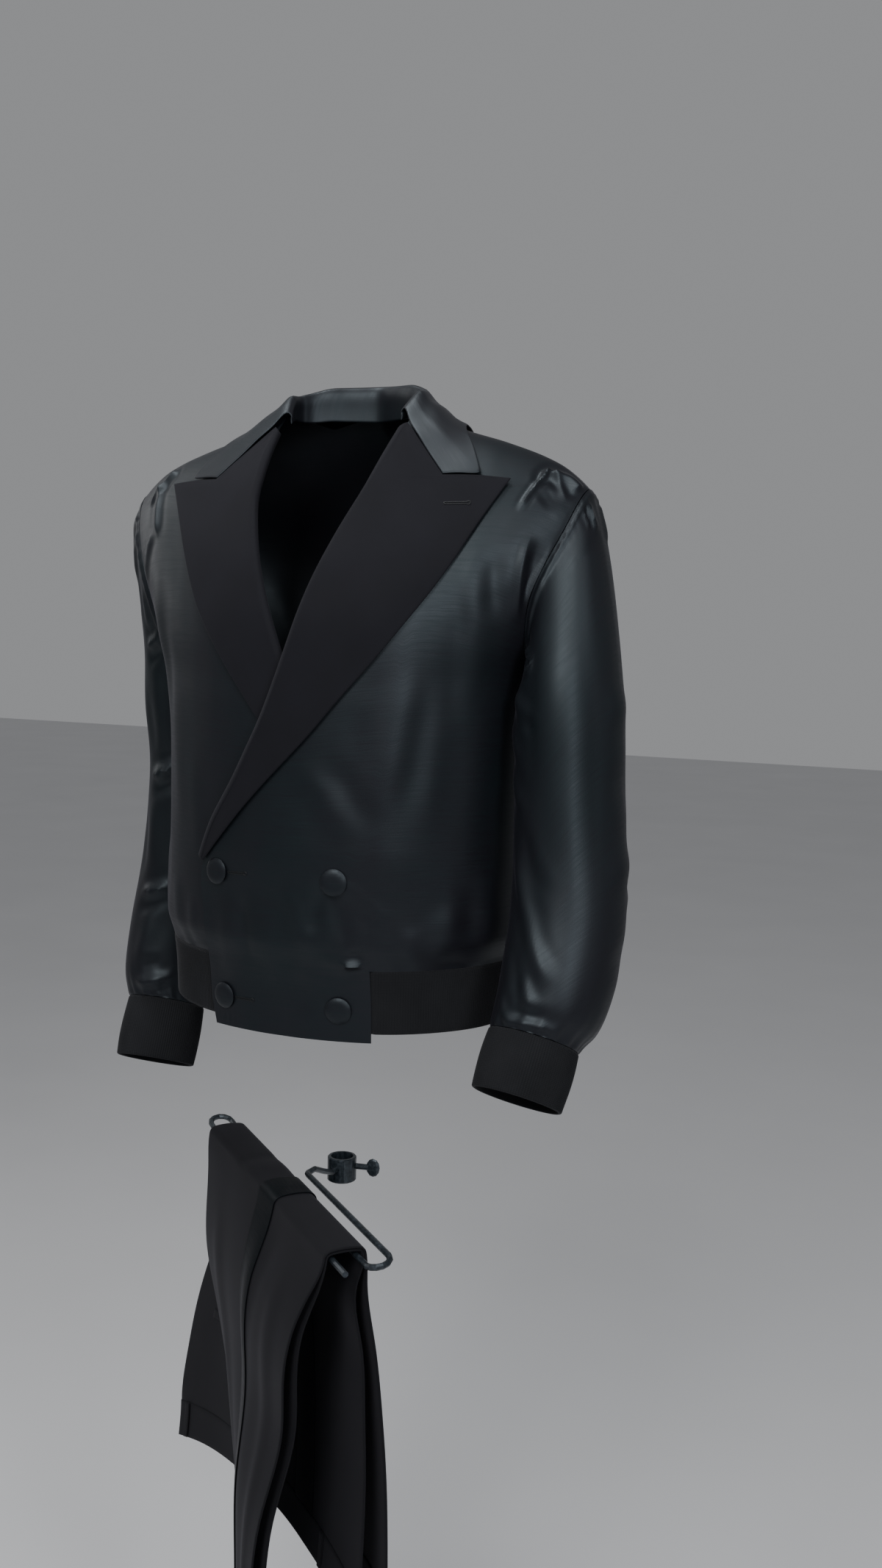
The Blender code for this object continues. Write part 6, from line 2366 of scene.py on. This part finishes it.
# ---------------------------------------------------------------- studio
@dataclass
class Studio:
    """Pale floor, soft light and the camera."""

    floor_z: float = -1.62
    eye: Triple = (0.7301, -1.4045, -0.218)
    heading: float = 24.0
    dip: float = 5.96
    roll: float = -1.44

    def floor(self) -> None:
        """A large plain floor."""
        clear_selection()
        bpy.ops.mesh.primitive_plane_add(size=30.0, location=(0.0, 0.0, self.floor_z))
        item = bpy.context.active_object
        item.data.transform(item.matrix_world)
        item.matrix_world = Matrix.Identity(4)
        item.name = "floor"
        item.data.materials.append(FloorFinish().made())

    def lamp(self, name: str, place: Triple,
             aim: Triple, size: Pair, power: float,
             color: Triple = (1.0, 1.0, 1.0)) -> None:
        """A large soft box.

        Args:
            name: the lamp's name.
            place: where it is.
            aim: the point that it faces.
            size: its width and height.
            power: its power in watts.
            color: its colour.
        """
        light = bpy.data.lights.new(name, "AREA")
        light.shape = "RECTANGLE"
        light.size, light.size_y = size
        light.energy = power
        light.color = color
        item = bpy.data.objects.new(name, light)
        item.location = place
        way = Vector(aim) - Vector(place)
        item.rotation_euler = way.to_track_quat("-Z", "Y").to_euler()
        bpy.context.scene.collection.objects.link(item)

    def lights(self) -> None:
        """Soft boxes above and beside, and an even surrounding light."""
        self.lamp("key", (0.35, -2.45, 1.35), (0.0, 0.0, -0.35), (1.0, 1.5), 62.0)
        self.lamp("top", (-0.55, -0.35, 1.7), (-0.05, 0.0, -0.3), (0.9, 0.7), 26.0,
                  (0.96, 0.98, 1.0))
        self.lamp("right", (1.85, -1.75, 0.45), (0.1, 0.0, -0.5), (0.5, 1.6), 30.0,
                  (0.93, 0.96, 1.0))
        self.lamp("left", (-2.2, 0.3, 0.6), (0.0, 0.0, -0.4), (0.6, 1.6), 8.0)
        world = bpy.data.worlds.new("studio")
        world.use_nodes = True
        background = world.node_tree.nodes["Background"]
        background.inputs["Color"].default_value = (0.8, 0.81, 0.83, 1.0)
        background.inputs["Strength"].default_value = 0.35
        bpy.context.scene.world = world

    def camera(self) -> None:
        """The camera, with the photograph's angle and lens."""
        data = bpy.data.cameras.new("camera")
        data.sensor_fit = "VERTICAL"
        data.sensor_height = 36.0
        data.lens = 35.0
        data.clip_start = 0.05
        data.dof.use_dof = False
        item = bpy.data.objects.new("camera", data)
        a, p, r = (math.radians(v) for v in (self.heading, self.dip, self.roll))
        forward = Vector((-math.sin(a), math.cos(a), 0.0))
        right = Vector((math.cos(a), math.sin(a), 0.0))
        up = Vector((0.0, 0.0, 1.0))
        ahead = forward * math.cos(p) - up * math.sin(p)
        above = up * math.cos(p) + forward * math.sin(p)
        across = right * math.cos(r) - above * math.sin(r)
        upward = above * math.cos(r) + right * math.sin(r)
        matrix = Matrix((across, upward, -ahead)).transposed().to_4x4()
        matrix.translation = Vector(self.eye)
        item.matrix_world = matrix
        bpy.context.scene.collection.objects.link(item)
        bpy.context.scene.camera = item

    def build(self) -> None:
        """Set up the studio."""
        self.camera()
        self.floor()
        self.lights()


def main() -> None:
    """Build the whole set in order."""
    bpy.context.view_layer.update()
    Studio().build()
    wardrobe = Wardrobe()
    cuffs = {True: CuffPlace(np.array((0.249, -0.0965, -0.6025)),
                             np.array((0.243, -0.122, -0.653)), 0.043, 0.0425),
             False: CuffPlace(np.array((-0.243, 0.027, -0.654)),
                              np.array((-0.241, 0.002, -0.715)), 0.042, 0.0425)}
    upper = Front(wardrobe, left=True).build()
    Front(wardrobe, left=False).build()
    Back(wardrobe).build()
    lapel = Lapel(wardrobe, left=True).build()
    Lapel(wardrobe, left=False).build()
    Collar(wardrobe).build()
    for left in (True, False):
        Sleeve(wardrobe, left=left).build(cuffs[left])
        Cuff(wardrobe, left=left).build(cuffs[left])
    HemBand(wardrobe).build()
    buttons, touch = Buttons(wardrobe), Touch(upper)
    for row, z in (("upper", -0.4615), ("lower", -0.588)):
        for side, x in (("right", -0.0625), ("left", 0.0625)):
            buttons.button(f"button_{row}_{side}", x, z, touch)
    buttons.hole("buttonhole_upper", -0.0385, -0.461, 0.021, 0.04, touch, "satin_cloth")
    buttons.hole("buttonhole_lower", -0.0385, -0.588, 0.021, 0.0, touch, "satin_cloth")
    buttons.hole("buttonhole_lapel", 0.1462, -0.1062, 0.023, 0.05, Touch(lapel),
                 "facing_cloth")
    Trousers(wardrobe).build()
    Hanger(wardrobe).build()
    bpy.context.view_layer.update()


if __name__ == "__main__":
    main()
